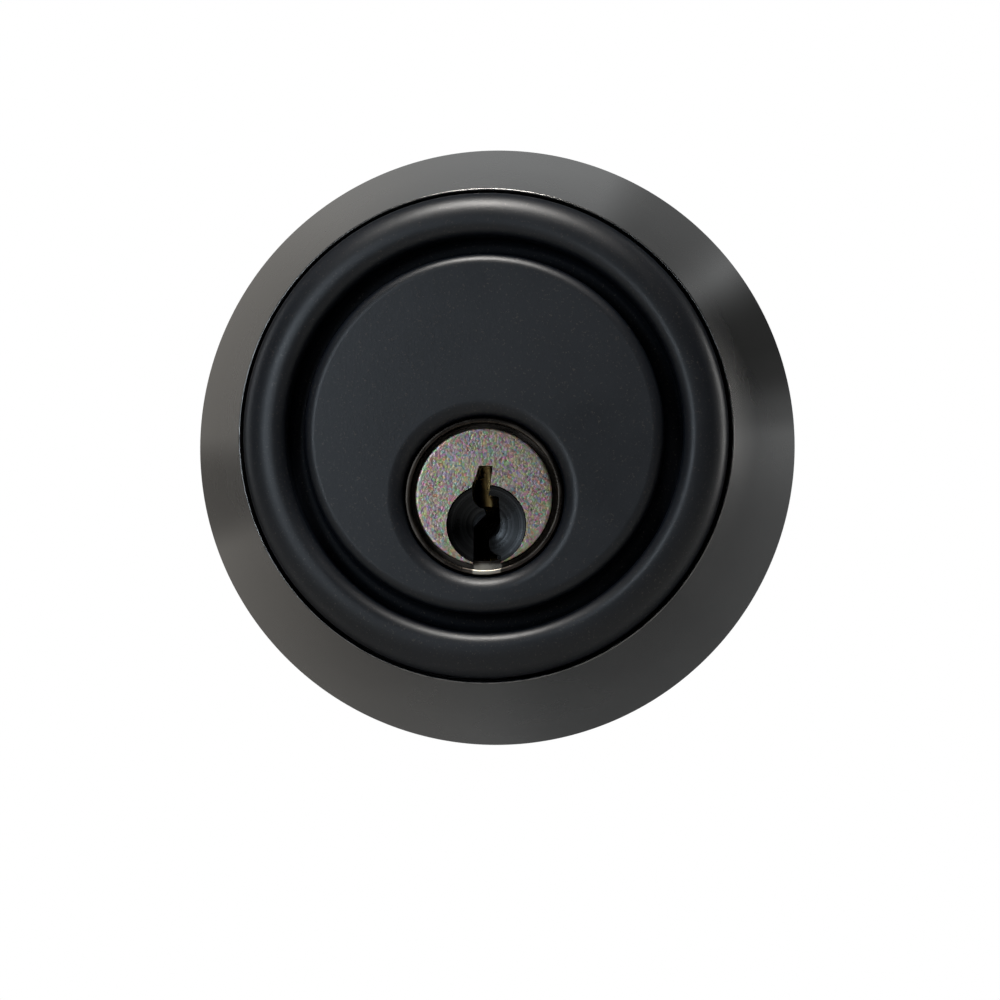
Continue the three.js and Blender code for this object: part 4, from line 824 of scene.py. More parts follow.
def threaded(surface, radius, root, pitch, low, high, centre, points=24):
    """A thread between two heights, closed at both ends. Its radius is root plus a ridge that is highest where
    w / pitch less the share of a turn is a whole number, and the ridge fades out at each end."""
    w = np.arange(low, high, pitch / 8)
    t = np.linspace(0, 1, points, endpoint=False)
    phase = (w[:, None] / pitch - t[None, :]) % 1.0
    ridge = np.clip(1.6 * np.abs(2 * phase - 1) - 0.4, 0.0, 1.0)
    fade = np.clip(np.minimum((w - low) / pitch, (high - w) / pitch), 0.0, 1.0)[:, None]
    r = root + (radius - root) * ridge * fade
    rows = np.empty((len(w), points, 3))
    rows[..., 0] = centre[0] + r * np.sin(2 * np.pi * t)
    rows[..., 1] = centre[1] + r * np.cos(2 * np.pi * t)
    rows[..., 2] = w[:, None]
    surface.grid(rows)
    surface.cap(rows[0])
    surface.cap(rows[-1])


def rotation(turn):
    """The matrix that turns [u, v] by an angle in radians."""
    return np.array([[math.cos(turn), -math.sin(turn)], [math.sin(turn), math.cos(turn)]])


def cross_outline(half_length, half_width, centre, turn=0.0):
    """A plus sign with rounded inside corners, for a screwdriver."""
    a, b = half_length, half_width
    c = b * 1.5
    quarter = np.array([[a, b], [c, b], [b, c], [b, a]])
    arms = [quarter @ rotation(x).T for x in np.radians([0, 90, 180, 270])]
    return np.concatenate(arms) @ rotation(turn).T + np.array(centre)


def screw_head(surface, radius, seat, top, edge, recess, depth, centre):
    """A round head with a cross let into its top. The cross narrows towards its floor."""
    outline = circle(radius, SMALL, centre)
    sign = 1 if top > seat else -1
    profile = [[u, top - sign * (edge - w)] for u, w in arc(-edge, 0.0, edge, 90, 0, 7)] + [[0.0, seat]]
    cross = cross_outline(recess, recess * 0.28, centre)
    walls = np.array([[0.0, top], [-0.00008, top - sign * 0.0001], [-recess * 0.12, top - sign * depth]])
    surface.solid(outline, np.array(profile), pockets=[(cross, walls)])


# ------------------------------------------------------------------ pieces
class BuildCollar(bpy.types.Operator):
    """Builds the collar that spins freely round the cylinder. A closed profile is turned about Y: a straight edge at
    the door, a cone, a rolled lip, and the same again inside at the wall's thickness."""

    bl_idname = "deadbolt.collar"
    bl_label = "Collar"

    def execute(self, context):
        s = context.scene.deadbolt_sizes
        mouth = s.head_radius + s.head_gap
        slope = math.atan2(COLLAR_RADIUS - mouth - s.collar_lip, COLLAR_HEIGHT - s.collar_edge)
        lip_u, lip_w = mouth + s.collar_lip, COLLAR_HEIGHT - s.collar_lip
        lip = arc(lip_u, lip_w, s.collar_lip, math.degrees(slope), 180, 22)
        reach = s.collar_wall / math.cos(slope)
        cone_foot = COLLAR_RADIUS - reach
        cone_top = s.collar_edge + (cone_foot - mouth) / math.tan(slope)
        foot = arc(COLLAR_RADIUS - CORNER, CORNER, CORNER, 270, 360, 5)
        bend = [[COLLAR_RADIUS, s.collar_edge - CORNER / 2], [COLLAR_RADIUS - CORNER / 4, s.collar_edge + CORNER]]
        inner = [
            [mouth, cone_top + CORNER],
            [mouth + CORNER * math.tan(slope), cone_top - CORNER],
            [cone_foot, s.collar_edge],
            [COLLAR_RADIUS - s.collar_wall, 0.0],
        ]
        outline = np.concatenate([foot, bend, lip, inner])
        surface = Surface("Y")
        surface.turned(np.stack([outline[:, 0], OUTSIDE - outline[:, 1]], axis=1), FINE, closed=True)
        surface.made("collar_surface", [finish("satin_black")], "collar", "satin_black", ["outer_collar"])
        return {"FINISHED"}


class BuildGuardRing(bpy.types.Operator):
    """Builds the hardened ring behind the collar: a rectangle with rounded corners, turned about Y."""

    bl_idname = "deadbolt.guard_ring"
    bl_label = "Guard ring"

    def execute(self, context):
        low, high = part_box("guard_ring")
        outer = high.x
        inner = POST_Z + POST_RADIUS + SEAT
        section = rectangle(inner, outer, low.y, high.y)
        surface = Surface("Y")
        surface.turned(section, ROUND, closed=True)
        surface.made("guard_ring_surface", [finish("hardened")], "collar", "hardened_steel", ["guard_ring"])
        return {"FINISHED"}


class BuildCollarSpring(bpy.types.Operator):
    """Builds the wave spring: a flat ring whose height is the middle height plus the rise times the cosine of four
    times the angle."""

    bl_idname = "deadbolt.collar_spring"
    bl_label = "Collar spring"

    def execute(self, context):
        low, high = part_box("collar_spring")
        wire = 0.0004
        section = rectangle(POST_Z + POST_RADIUS + SEAT, high.x, -wire / 2, wire / 2, wire / 5)
        t = np.linspace(0, 2 * np.pi, ROUND, endpoint=False)
        wave = (low.y + high.y) / 2 + (high.y - low.y - wire) / 2 * np.cos(4 * t)
        rows = np.empty((len(section), ROUND, 3))
        rows[..., :2] = section[:, None, :1] * circle(1.0, ROUND)
        rows[..., 2] = section[:, 1:] + wave
        surface = Surface("Y")
        surface.grid(rows, closed=True)
        surface.made("collar_spring_surface", [finish("steel")], "lock_body", "steel", ["collar_spring"])
        return {"FINISHED"}


class BuildHousing(bpy.types.Operator):
    """Builds the cylinder housing. Rings are stacked from the rear of the flange, over the raised ring, the groove
    and the disc, to the mouth that dips to the key cylinder and back through its bore. Each ring is
    centre + radius (sin t, cos t), and the centre steps from the collar's axis to the key cylinder's between the
    disc and the mouth. The boss behind is a round shell with a flat-topped tower, drawn out along Y."""

    bl_idname = "deadbolt.housing"
    bl_label = "Cylinder housing"

    def execute(self, context):
        s = context.scene.deadbolt_sizes
        head, ring_inner = s.head_radius, s.head_radius - s.ring_width
        disc, inner_round = ring_inner - s.groove_width, s.ring_inner_round
        floor, rear = HEAD_HEIGHT - s.groove_depth, FLANGE_HEIGHT
        bore = SHELL_RADIUS + RUN
        step = rear + FLANGE_THICKNESS
        fillet = s.groove_width * GROOVE_FILLET
        about_head = np.concatenate(
            [
                arc(FLANGE_RADIUS - CORNER, rear + CORNER, CORNER, 270, 360, 4),
                arc(FLANGE_RADIUS - CORNER, step - CORNER, CORNER, 0, 90, 4),
                [[head, step]],
                arc(head - s.ring_outer_round, HEAD_HEIGHT - s.ring_outer_round, s.ring_outer_round, 0, 90, 20),
                arc(ring_inner + inner_round, HEAD_HEIGHT - inner_round, inner_round, 90, 180, 12),
                arc(ring_inner - fillet, floor + fillet, fillet, 0, -90, 8),
                arc(disc + fillet, floor + fillet, fillet, 270, 180, 8),
                arc(disc - s.disc_round, HEAD_HEIGHT - s.disc_round, s.disc_round, 0, 90, 14),
            ]
        )
        about_plug = np.concatenate(
            [
                arc(bore + s.mouth_round, HEAD_HEIGHT - s.mouth_round, s.mouth_round, 90, 180, 16),
                [[bore, rear]],
            ]
        )
        outline = np.concatenate([about_head, about_plug])
        centres = np.zeros((len(outline), 2))
        centres[len(about_head) :] = PLUG_AXIS
        surface = Surface("Y")
        rings = np.stack([outline[:, 0], OUTSIDE - outline[:, 1]], axis=1)
        surface.turned(rings, FINE, centre=centres, closed=True)

        roof, half = BIBLE_TOP + TOWER_ROOM - PLUG_Z, BIBLE_HALF + TOWER_WALL
        top = roof + TOWER_WALL
        lean = math.degrees(math.acos(half / BOSS_RADIUS))
        tower = np.concatenate([[[half, top], [-half, top]], arc(0, 0, BOSS_RADIUS, 180 - lean, 360 + lean, 61)])
        pocket = np.concatenate(
            [[[BIBLE_HALF + SEAT, roof], [-BIBLE_HALF - SEAT, roof]], arc(0, 0, bore, 150, 390, 49)]
        )
        surface.solid(
            tower + np.array(PLUG_AXIS),
            edge_profile(OUTSIDE - step + SEAT, BOSS_REAR, CORNER, CORNER * 1.6),
            holes=[(pocket + np.array(PLUG_AXIS), hole_profile(OUTSIDE - step + SEAT, BOSS_REAR, CORNER))],
        )
        for side in (-1, 1):
            centre = (0.0, side * POST_Z)
            wall = edge_profile(OUTSIDE - step + SEAT, POST_REAR, CORNER, 0.0006)
            hole = hole_profile(OUTSIDE - step + SEAT, POST_REAR, CORNER)
            surface.solid(circle(POST_RADIUS, SMALL, centre), wall, holes=[(circle(SCREW_ROOM, 48, centre), hole)])
        nodes = ["cylinder_housing"]
        surface.made("housing_surface", [finish("powder_black")], "lock_body", "powder_black", nodes)
        return {"FINISHED"}


class BuildShell(bpy.types.Operator):
    """Builds the key cylinder's shell. The sleeve is a closed profile turned about the plug's axis, left open over
    the pins, and the block above it is drawn up along Z with one round hole for each pin."""

    bl_idname = "deadbolt.shell"
    bl_label = "Cylinder shell"

    def execute(self, context):
        seat = PLUG_FACE + PLUG_FLANGE + RUN
        rim = 0.00016
        profile = np.concatenate(
            [
                [[BORE_RADIUS, seat], [SHELL_MOUTH, seat]],
                arc(SHELL_MOUTH + rim, SHELL_FACE + rim, rim, 180, 270, 5),
                arc(SHELL_RADIUS - rim, SHELL_FACE + rim, rim, 270, 360, 5),
                [[SHELL_RADIUS, BOSS_REAR], [BORE_RADIUS, BOSS_REAR]],
            ]
        )
        surface = Surface("Y")
        first = PLUG_FACE + FIRST_PIN
        split = first - CHAMBER_RADIUS
        front = profile.copy()
        front[front[:, 1] > split, 1] = split
        surface.turned(front, FINE, centre=PLUG_AXIS, closed=True)
        gap = math.asin(CHAMBER_RADIUS / BORE_RADIUS)
        turn = np.linspace(gap, 2 * np.pi - gap, 97)
        round_u, round_v = np.sin(turn), np.cos(turn)
        outer = np.stack([SHELL_RADIUS * round_u, SHELL_RADIUS * round_v], axis=1)
        inner = np.stack([BORE_RADIUS * round_u, BORE_RADIUS * round_v], axis=1)[::-1]
        section = np.concatenate([outer, inner]) + np.array(PLUG_AXIS)
        surface.solid(section, np.array([[0.0, split - RUN], [0.0, BOSS_REAR]]))
        block = Surface("Z")
        outline = rectangle(-BIBLE_HALF, BIBLE_HALF, OUTSIDE - BLOCK_FRONT, BOSS_REAR)
        foot = PLUG_Z + BORE_RADIUS + BLOCK_EDGE
        holes = []
        for number in range(PIN_COUNT):
            hole = circle(CHAMBER_RADIUS, 32, (0.0, first + number * PIN_PITCH))
            holes.append((hole, hole_profile(foot, BIBLE_TOP, BLOCK_EDGE)))
        block.solid(outline, edge_profile(foot, BIBLE_TOP, BLOCK_EDGE, EDGE), holes=holes)
        surface.join(block)
        surface.made("cylinder_shell_surface", [finish("shell")], "lock_body", "brass", ["cylinder_shell"])
        return {"FINISHED"}


class BuildPlug(bpy.types.Operator):
    """Builds the plug that the key turns. Its face is a round outline that the warded slot opens from below, let in
    by the larger of two depths: a round chamfer at the rim, and a dish, which is a short steep wall and then a
    cone. Behind the pins' chambers begin, so that the body is two separate halves, and it ends in a neck."""

    bl_idname = "deadbolt.plug"
    bl_label = "Plug"

    def execute(self, context):
        s = context.scene.deadbolt_sizes
        side = resampled_path(keyway_side_points(), 0.00012)
        left, right = side[0, 0], side[-1, 0]
        surface = Surface("Y")
        face = slotted_round(PLUG_RADIUS, side, left, right)
        rings = [circle(PLUG_RADIUS - s.plug_edge * share, FINE, PLUG_AXIS) for share in (0.3, 0.65, 1.0, 2.0)]
        for share in (1.004, 1.0, 0.0, -0.15, -0.5, -0.8):
            radius = s.dish_radius - DISH_WALL + DISH_WALL * share if share >= 0 else s.dish_radius * (1 + share)
            rings.append(circle(radius, 192, DISH_CENTRE))

        def in_dish(points):
            far = np.hypot(points[:, 0] - DISH_CENTRE[0], points[:, 1] - DISH_CENTRE[1])
            return np.where(far < s.dish_radius, 1, 0)

        relief(surface, face, rings, plug_height, PLUG_FACE, PLUG_FACE + PLUG_FLANGE, in_dish)
        first = PLUG_FACE + FIRST_PIN - CHAMBER_RADIUS
        middle = slotted_round(PLUG_BODY_RADIUS, side, left, right, ROUND)
        surface.solid(middle, np.array([[0.0, PLUG_FACE + PLUG_FLANGE - CORNER], [0.0, first]]), slot=1)
        chamber_floor = -1.95
        for outline in (
            half_round(PLUG_BODY_RADIUS, 1, [[1.6, chamber_floor], [1.6, -2.5], *arc(*WARD, 9)]),
            half_round(PLUG_BODY_RADIUS, -1, [[-1.6, chamber_floor], [-0.05, chamber_floor], [-1.1, -3.0]]),
        ):
            surface.solid(outline, np.array([[0.0, first - RUN], [0.0, BOSS_REAR]]), slot=1)
        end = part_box("plug")[1].y
        neck, lap, lug_height = 0.0052, 0.001, 0.001
        start, stop = BOSS_REAR - lap, end - lug_height
        profile = [[0.0, start], [neck, start], [neck, stop - CORNER], [neck - CORNER, stop], [0.0, stop]]
        surface.turned(np.array(profile), SMALL, centre=PLUG_AXIS, slot=1)
        surface.solid(lug_outline(-20, 20), np.array([[0.0, stop - EDGE], [0.0, end]]), slot=1)
        surface.made("plug_surface", [finish("nickel"), finish("dish")], "key_plug", "nickel", ["plug"])
        return {"FINISHED"}


def lug_outline(start, end):
    """A driving lug: part of a ring about the plug's axis, between two angles in degrees."""
    t = np.radians(np.linspace(start, end, 9))
    sides = [np.stack([r * np.cos(x), r * np.sin(x)], axis=1) for r, x in ((LUG_OUTER, t), (LUG_INNER, t[::-1]))]
    return np.concatenate(sides) + np.array(PLUG_AXIS)


def resampled_path(path, spacing):
    """An open path with points no further apart than the spacing, its corners kept."""
    steps = np.maximum(np.ceil(np.linalg.norm(np.diff(path, axis=0), axis=1) / spacing).astype(int), 1)
    index = np.repeat(np.arange(len(path) - 1), steps)
    share = (np.arange(steps.sum()) - (np.cumsum(steps) - steps)[index]) / steps[index]
    return np.concatenate([path[index] + share[:, None] * (path[index + 1] - path[index]), path[-1:]])


def half_round(radius, side, inner):
    """One half of the plug's body, from the slot over the pins to the slot below, with the given inner corners."""
    inner = np.asarray(inner) * MM
    bottom = inner[-1, 0] if abs(inner[-1, 0]) > 0.0005 else side * 0.0017
    high = math.asin(abs(inner[0, 0]) / radius)
    low = math.asin(abs(bottom) / radius)
    t = np.linspace(math.pi - low, high, 61)
    outer = np.stack([side * radius * np.sin(t), radius * np.cos(t)], axis=1)
    return np.concatenate([outer, inner]) + np.array(PLUG_AXIS)


class BuildKeyPins(bpy.types.Operator):
    """Builds the five key pins. Each is a profile turned about Z: a rounded point, a straight side, a small edge."""

    bl_idname = "deadbolt.key_pins"
    bl_label = "Key pins"

    def execute(self, context):
        for number in range(1, PIN_COUNT + 1):
            node_name = f"key_pin_{number}"
            low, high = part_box(node_name)
            radius, tip, edge = (high.x - low.x) / 2, 0.001, 0.00015
            profile = np.concatenate(
                [
                    [[0.0, low.z]],
                    arc(0.0003, low.z + EDGE, EDGE, 270, 320, 4),
                    [[radius, low.z + tip]],
                    arc(radius - edge, high.z - edge, edge, 0, 90, 4),
                    [[0.0, high.z]],
                ]
            )
            surface = Surface("Z")
            surface.turned(profile, 48, centre=(0.0, (low.y + high.y) / 2))
            name = f"key_pin_{number}_surface"
            surface.made(name, [finish("pin_brass")], node_name, "brass", [node_name])
        return {"FINISHED"}


class BuildCylinderRear(bpy.types.Operator):
    """Builds what holds the cylinder from behind: the notched cap, the retainer plate and its two screws. The cap's
    outline is round with four square notches, the plate is round with two ears, and both are drawn out along Y."""

    bl_idname = "deadbolt.cylinder_rear"
    bl_label = "Cap and retainer"

    def execute(self, context):
        low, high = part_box("cylinder_cap")
        radius, notch = high.x, 0.0006
        t = np.linspace(0, 2 * np.pi, ROUND, endpoint=False)
        off = np.abs((t + np.pi / 4) % (np.pi / 2) - np.pi / 4)
        r = np.where(np.abs(off - np.pi / 4) * radius < notch, radius - notch, radius)
        outline = np.stack([r * np.sin(t), r * np.cos(t)], axis=1) + np.array(PLUG_AXIS)
        hole = circle(0.0034, SMALL, PLUG_AXIS)
        wall = 0.001
        surface = Surface("Y")
        floor = high.y - wall
        hole_wall = hole_profile(floor, high.y, EDGE)
        surface.solid(outline, edge_profile(floor, high.y, 0.0001, 0.0005), [(hole, hole_wall)])
        room = circle(0.00545, SMALL, PLUG_AXIS)
        surface.solid(outline, edge_profile(low.y, floor, EDGE, 0.0), [(room, hole_profile(low.y, floor, 0.0001))])
        surface.made("cylinder_cap_surface", [finish("brass")], "key_plug", "brass", ["cylinder_cap"])

        low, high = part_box("cylinder_retainer")
        ear, ear_round, body, screw_hole = 0.0104, 0.0024, 0.0098, 0.00125
        lowest = -POST_Z + 0.0044
        t = np.linspace(0, 2 * np.pi, ROUND, endpoint=False)
        reach = (np.abs(np.sin(t)) * ear) + np.sqrt(np.maximum(ear_round**2 - (ear * np.cos(t)) ** 2, 0.0))
        r = np.where(np.abs(ear * np.cos(t)) < ear_round, np.maximum(reach, body), body)
        outline = np.stack([r * np.sin(t), r * np.cos(t)], axis=1) + np.array(PLUG_AXIS)
        cut = outline[:, 1] < lowest
        outline[cut, 1] = np.maximum(outline[cut, 1], lowest + EDGE)
        round_hole = hole_profile(low.y, high.y, 0.00015)
        holes = [(circle(radius + SEAT, ROUND, PLUG_AXIS), round_hole)]
        holes += [(circle(screw_hole, 32, (side * ear, PLUG_Z)), round_hole) for side in (-1, 1)]
        surface = Surface("Y")
        surface.solid(outline, edge_profile(low.y, high.y, 0.00015, 0.00015), holes)
        surface.made("retainer_surface", [finish("zinc")], "lock_body", "zinc_plate", ["cylinder_retainer"])

        for number in (1, 2):
            node_name = f"retainer_screw_{number}"
            low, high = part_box(node_name)
            centre = ((low.x + high.x) / 2, (low.z + high.z) / 2)
            surface = Surface("Y")
            seat = high.y - 0.0011
            threaded(surface, 0.001, 0.00075, 0.0004, low.y, seat, centre)
            screw_head(surface, 0.00185, seat, high.y, 0.0004, 0.0011, 0.0006, centre)
            surface.made(f"retainer_screw_{number}_surface", [finish("steel")], "lock_body", "steel", [node_name])
        return {"FINISHED"}


class BuildTailpiece(bpy.types.Operator):
    """Builds the tailpiece: a round head turned about the plug's axis, and a flat blade drawn out along Y."""

    bl_idname = "deadbolt.tailpiece"
    bl_label = "Tailpiece"

    def execute(self, context):
        low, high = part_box("tailpiece")
        head = low.y + 0.00115
        surface = Surface("Y")
        surface.solid(circle(LUG_OUTER, SMALL, PLUG_AXIS), edge_profile(head - 0.0001, head + 0.001, 0.0001, EDGE))
        surface.solid(lug_outline(115, 155), np.array([[0.0, low.y], [0.0, head + EDGE]]))
        a, b = BLADE_HALF_THICKNESS, BLADE_HALF_HEIGHT
        blade = rectangle(-a, a, PLUG_Z - b, PLUG_Z + b, EDGE)
        surface.solid(blade, edge_profile(head, high.y, 0.0, 0.0003))
        surface.made("tailpiece_surface", [finish("drawn_steel")], "thumbturn", "steel", ["tailpiece"])
        return {"FINISHED"}


class BuildCam(bpy.types.Operator):
    """Builds the cam that throws the bolt: a hub with a slot for the tailpiece, an arm with round ends and its pin,
    each an outline drawn out along Y."""

    bl_idname = "deadbolt.cam"
    bl_label = "Cam"

    def execute(self, context):
        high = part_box("bolt_cam")[1].y
        a, b = BLADE_HALF_THICKNESS + RUN, BLADE_HALF_HEIGHT + RUN
        slot = rectangle(-a, a, PLUG_Z - b, PLUG_Z + b, EDGE)
        surface = Surface("Y")
        walls = hole_profile(-high, high, EDGE)
        hub = edge_profile(-high, high, CORNER, CORNER)
        surface.solid(circle(CAM_HUB_RADIUS, SMALL, PLUG_AXIS), hub, [(slot, walls)])
        reach = BOLT_THROW / 2 / math.sin(math.radians(45))
        half, thick, inset = 0.0023, 0.0012, 0.0032
        turn = math.radians(135)
        along = np.array([math.cos(turn), math.sin(turn)])
        across = np.array([-along[1], along[0]])
        end = arc(0, 0, half, -90, 90, 17)
        tip = np.array(PLUG_AXIS) + along * reach + end[:, :1] * along + end[:, 1:] * across
        foot = np.array(PLUG_AXIS) + along * inset + np.array([[half], [-half]]) * across
        surface.solid(np.concatenate([tip, foot]), edge_profile(-thick, thick, EDGE, EDGE))
        pin = tuple(np.array(PLUG_AXIS) + along * reach)
        far = TAIL_GAP + TAIL_PLATE
        surface.solid(circle(CAM_PIN_RADIUS, 40, pin), edge_profile(-far, far, EDGE, EDGE))
        surface.made("cam_surface", [finish("zinc")], "cam", "zinc_plate", ["bolt_cam"])
        return {"FINISHED"}


def flat_sided_round(radius, half_width, points=40):
    """A circle about the X axis whose two sides are cut off flat, as [u, v]."""
    lean = math.degrees(math.acos(half_width / radius))
    top = arc(0, 0, radius, lean, 180 - lean, points)
    return np.concatenate([top, -top])


class BuildBolt(bpy.types.Operator):
    """Builds the bolt, its pin and its tail. The bolt is a flat-sided round drawn out along X with a rounded nose,
    and the tail is two forked plates and the block that joins them, drawn out along Y."""

    bl_idname = "deadbolt.bolt"
    bl_label = "Bolt and tail"

    def execute(self, context):
        low, high = BOLT
        surface = Surface("X")
        outline = resampled(flat_sided_round(high.z, high.y), 0.0012)
        surface.solid(outline, edge_profile(low.x, high.x, CORNER, 0.0009, 8))
        surface.made("bolt_surface", [finish("bolt")], "bolt", "nickel", ["deadbolt"])

        low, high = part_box("tail_pin")
        surface = Surface("Y")
        middle = ((low.x + high.x) / 2, (low.z + high.z) / 2)
        surface.solid(circle((high.x - low.x) / 2, 40, middle), edge_profile(low.y, high.y, EDGE, EDGE))
        surface.made("tail_pin_surface", [finish("steel")], "bolt", "steel", ["tail_pin"])

        low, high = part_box("bolt_tail")
        rest, half, prong, shoulder = -BOLT_THROW / 2, 0.00255, 0.003, 0.006
        floor = PLUG_Z + BOLT_THROW / 2 - half
        outline = np.array(
            [
                [low.x, low.z], [high.x, low.z], [high.x, shoulder], [rest + half + prong, shoulder],
                [rest + half + prong, high.z], [rest + half, high.z], [rest + half, floor],
                [rest - half, floor], [rest - half, high.z], [low.x, high.z],
            ]
        )
        surface = Surface("Y")
        plate = resampled(outline, 0.002)
        for side in (-1, 1):
            near, far = sorted((side * TAIL_GAP, side * high.y))
            surface.solid(plate, edge_profile(near, far, 0.00015, 0.00015, 3))
        bridge = rectangle(BOLT[0].x - 0.003, high.x - RUN, low.z + RUN, shoulder - RUN, EDGE)
        surface.solid(bridge, np.array([[0.0, -TAIL_GAP - RUN], [0.0, TAIL_GAP + RUN]]))
        surface.made("bolt_tail_surface", [finish("zinc")], "bolt", "zinc_plate", ["bolt_tail"])
        return {"FINISHED"}


def faceplate_screw_z():
    """Height of the upper faceplate screw above the bolt's centre line."""
    low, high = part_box("faceplate_screw_top")
    return (low.z + high.z) / 2


class BuildPlates(bpy.types.Operator):
    """Builds the faceplate and the plate behind it: rounded rectangles drawn out along X, with a flat-sided hole for
    the bolt and two countersunk screw holes."""

    bl_idname = "deadbolt.plates"
    bl_label = "Faceplate and backplate"

    def execute(self, context):
        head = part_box("faceplate_screw_top")[1].y
        for node_name, key, record_slot, corner in (
            ("bolt_faceplate", "satin_black", "satin_black", 0.0064),
            ("bolt_backplate", "zinc", "zinc_plate", 0.0056),
        ):
            low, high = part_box(node_name)
            edge = 0.0005 if node_name == "bolt_faceplate" else 0.0003
            bolt_hole = resampled(flat_sided_round(BOLT[1].z + SEAT, BOLT[1].y + SEAT), 0.0012)
            walls = hole_profile(low.x, high.x, 0.0003)
            holes = [(bolt_hole, walls)]
            for side in (-1, 1):
                hole = circle(head + SEAT, 48, (0.0, side * faceplate_screw_z()))
                if node_name == "bolt_faceplate":
                    narrow = head - 0.002
                    cone = [[narrow, low.x], [narrow, low.x + 0.0004], [0.0, high.x - CORNER], [0.0, high.x]]
                    holes.append((hole, np.array(cone)))
                else:
                    holes.append((circle(0.0023, 48, (0.0, side * faceplate_screw_z())), walls))
            outline = rounded_rectangle(high.y - low.y, high.z - low.z, corner, points=16)
            surface = Surface("X")
            surface.solid(outline, edge_profile(low.x, high.x, EDGE, edge, 6), holes)
            name = "faceplate_surface" if node_name == "bolt_faceplate" else "backplate_surface"
            surface.made(name, [finish(key)], "lock_body", record_slot, [node_name])
        return {"FINISHED"}


class BuildFaceplateScrews(bpy.types.Operator):
    """Builds the two countersunk screws: a threaded shank whose ridge follows a helix, and a cone with a cross."""

    bl_idname = "deadbolt.faceplate_screws"
    bl_label = "Faceplate screws"

    def execute(self, context):
        for place in ("bottom", "top"):
            node_name = f"faceplate_screw_{place}"
            low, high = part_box(node_name)
            centre = (0.0, (low.z + high.z) / 2)
            radius = high.y
            surface = Surface("X")
            shank = high.x - 0.0024
            threaded(surface, 0.002, 0.0014, 0.0014, low.x + 0.004, shank, centre)
            tip = [[0.0, low.x], [0.0004, low.x + 0.0001], [0.0014, low.x + 0.0042], [0.0, low.x + 0.0043]]
            surface.turned(np.array(tip), 24, centre)
            profile = np.array([[0.0, high.x], [0.00005, high.x - 0.0003], [0.002 - radius, shank]])
            cross = cross_outline(0.0022, 0.0006, centre, math.radians(12))
            walls = np.array([[0.0, high.x], [-0.00025, high.x - 0.001]])
            surface.solid(circle(radius, SMALL, centre), profile, pockets=[(cross, walls)])
            name = f"faceplate_screw_{place}_surface"
            surface.made(name, [finish("satin_black")], "lock_body", "satin_black", [node_name])
        return {"FINISHED"}


class BuildBarrel(bpy.types.Operator):
    """Builds the tube that the bolt slides in: a closed profile turned about X, and its rear wall, which has a window
    for the tail and a slot for each half of the case."""

    bl_idname = "deadbolt.barrel"
    bl_label = "Bolt barrel"

    def execute(self, context):
        low, high = BARREL
        radius, wall, edge, rear = high.z, BARREL_WALL, EDGE, low.x + 0.0015
        bore = radius - wall
        profile = np.array(
            [
                [bore, low.x + edge], [bore + edge, low.x], [radius - edge, low.x], [radius, low.x + edge],
                [radius, high.x - edge], [radius - edge, high.x], [bore + edge, high.x], [bore, high.x - edge],
            ]
        )
        surface = Surface("X")
        surface.turned(profile, ROUND, closed=True)
        half = TAIL_GAP + TAIL_PLATE + SEAT
        walls = hole_profile(low.x, rear, 0.0001, 3)
        holes = [(rectangle(-half, half, -SEAT, bore - 0.0009), walls)]
        for side in (-1, 1):
            middle, wide, tall = side * (CASE_INSIDE / 2 + 0.0006), 0.0009, 0.0043
            holes.append((rectangle(middle - wide, middle + wide, -tall, tall, EDGE), walls))
        surface.solid(circle(radius - wall / 2, ROUND), np.array([[0.0, low.x + RUN / 2], [0.0, rear]]), holes)
        surface.made("bolt_barrel_surface", [finish("zinc")], "lock_body", "zinc_plate", ["bolt_barrel"])
        return {"FINISHED"}


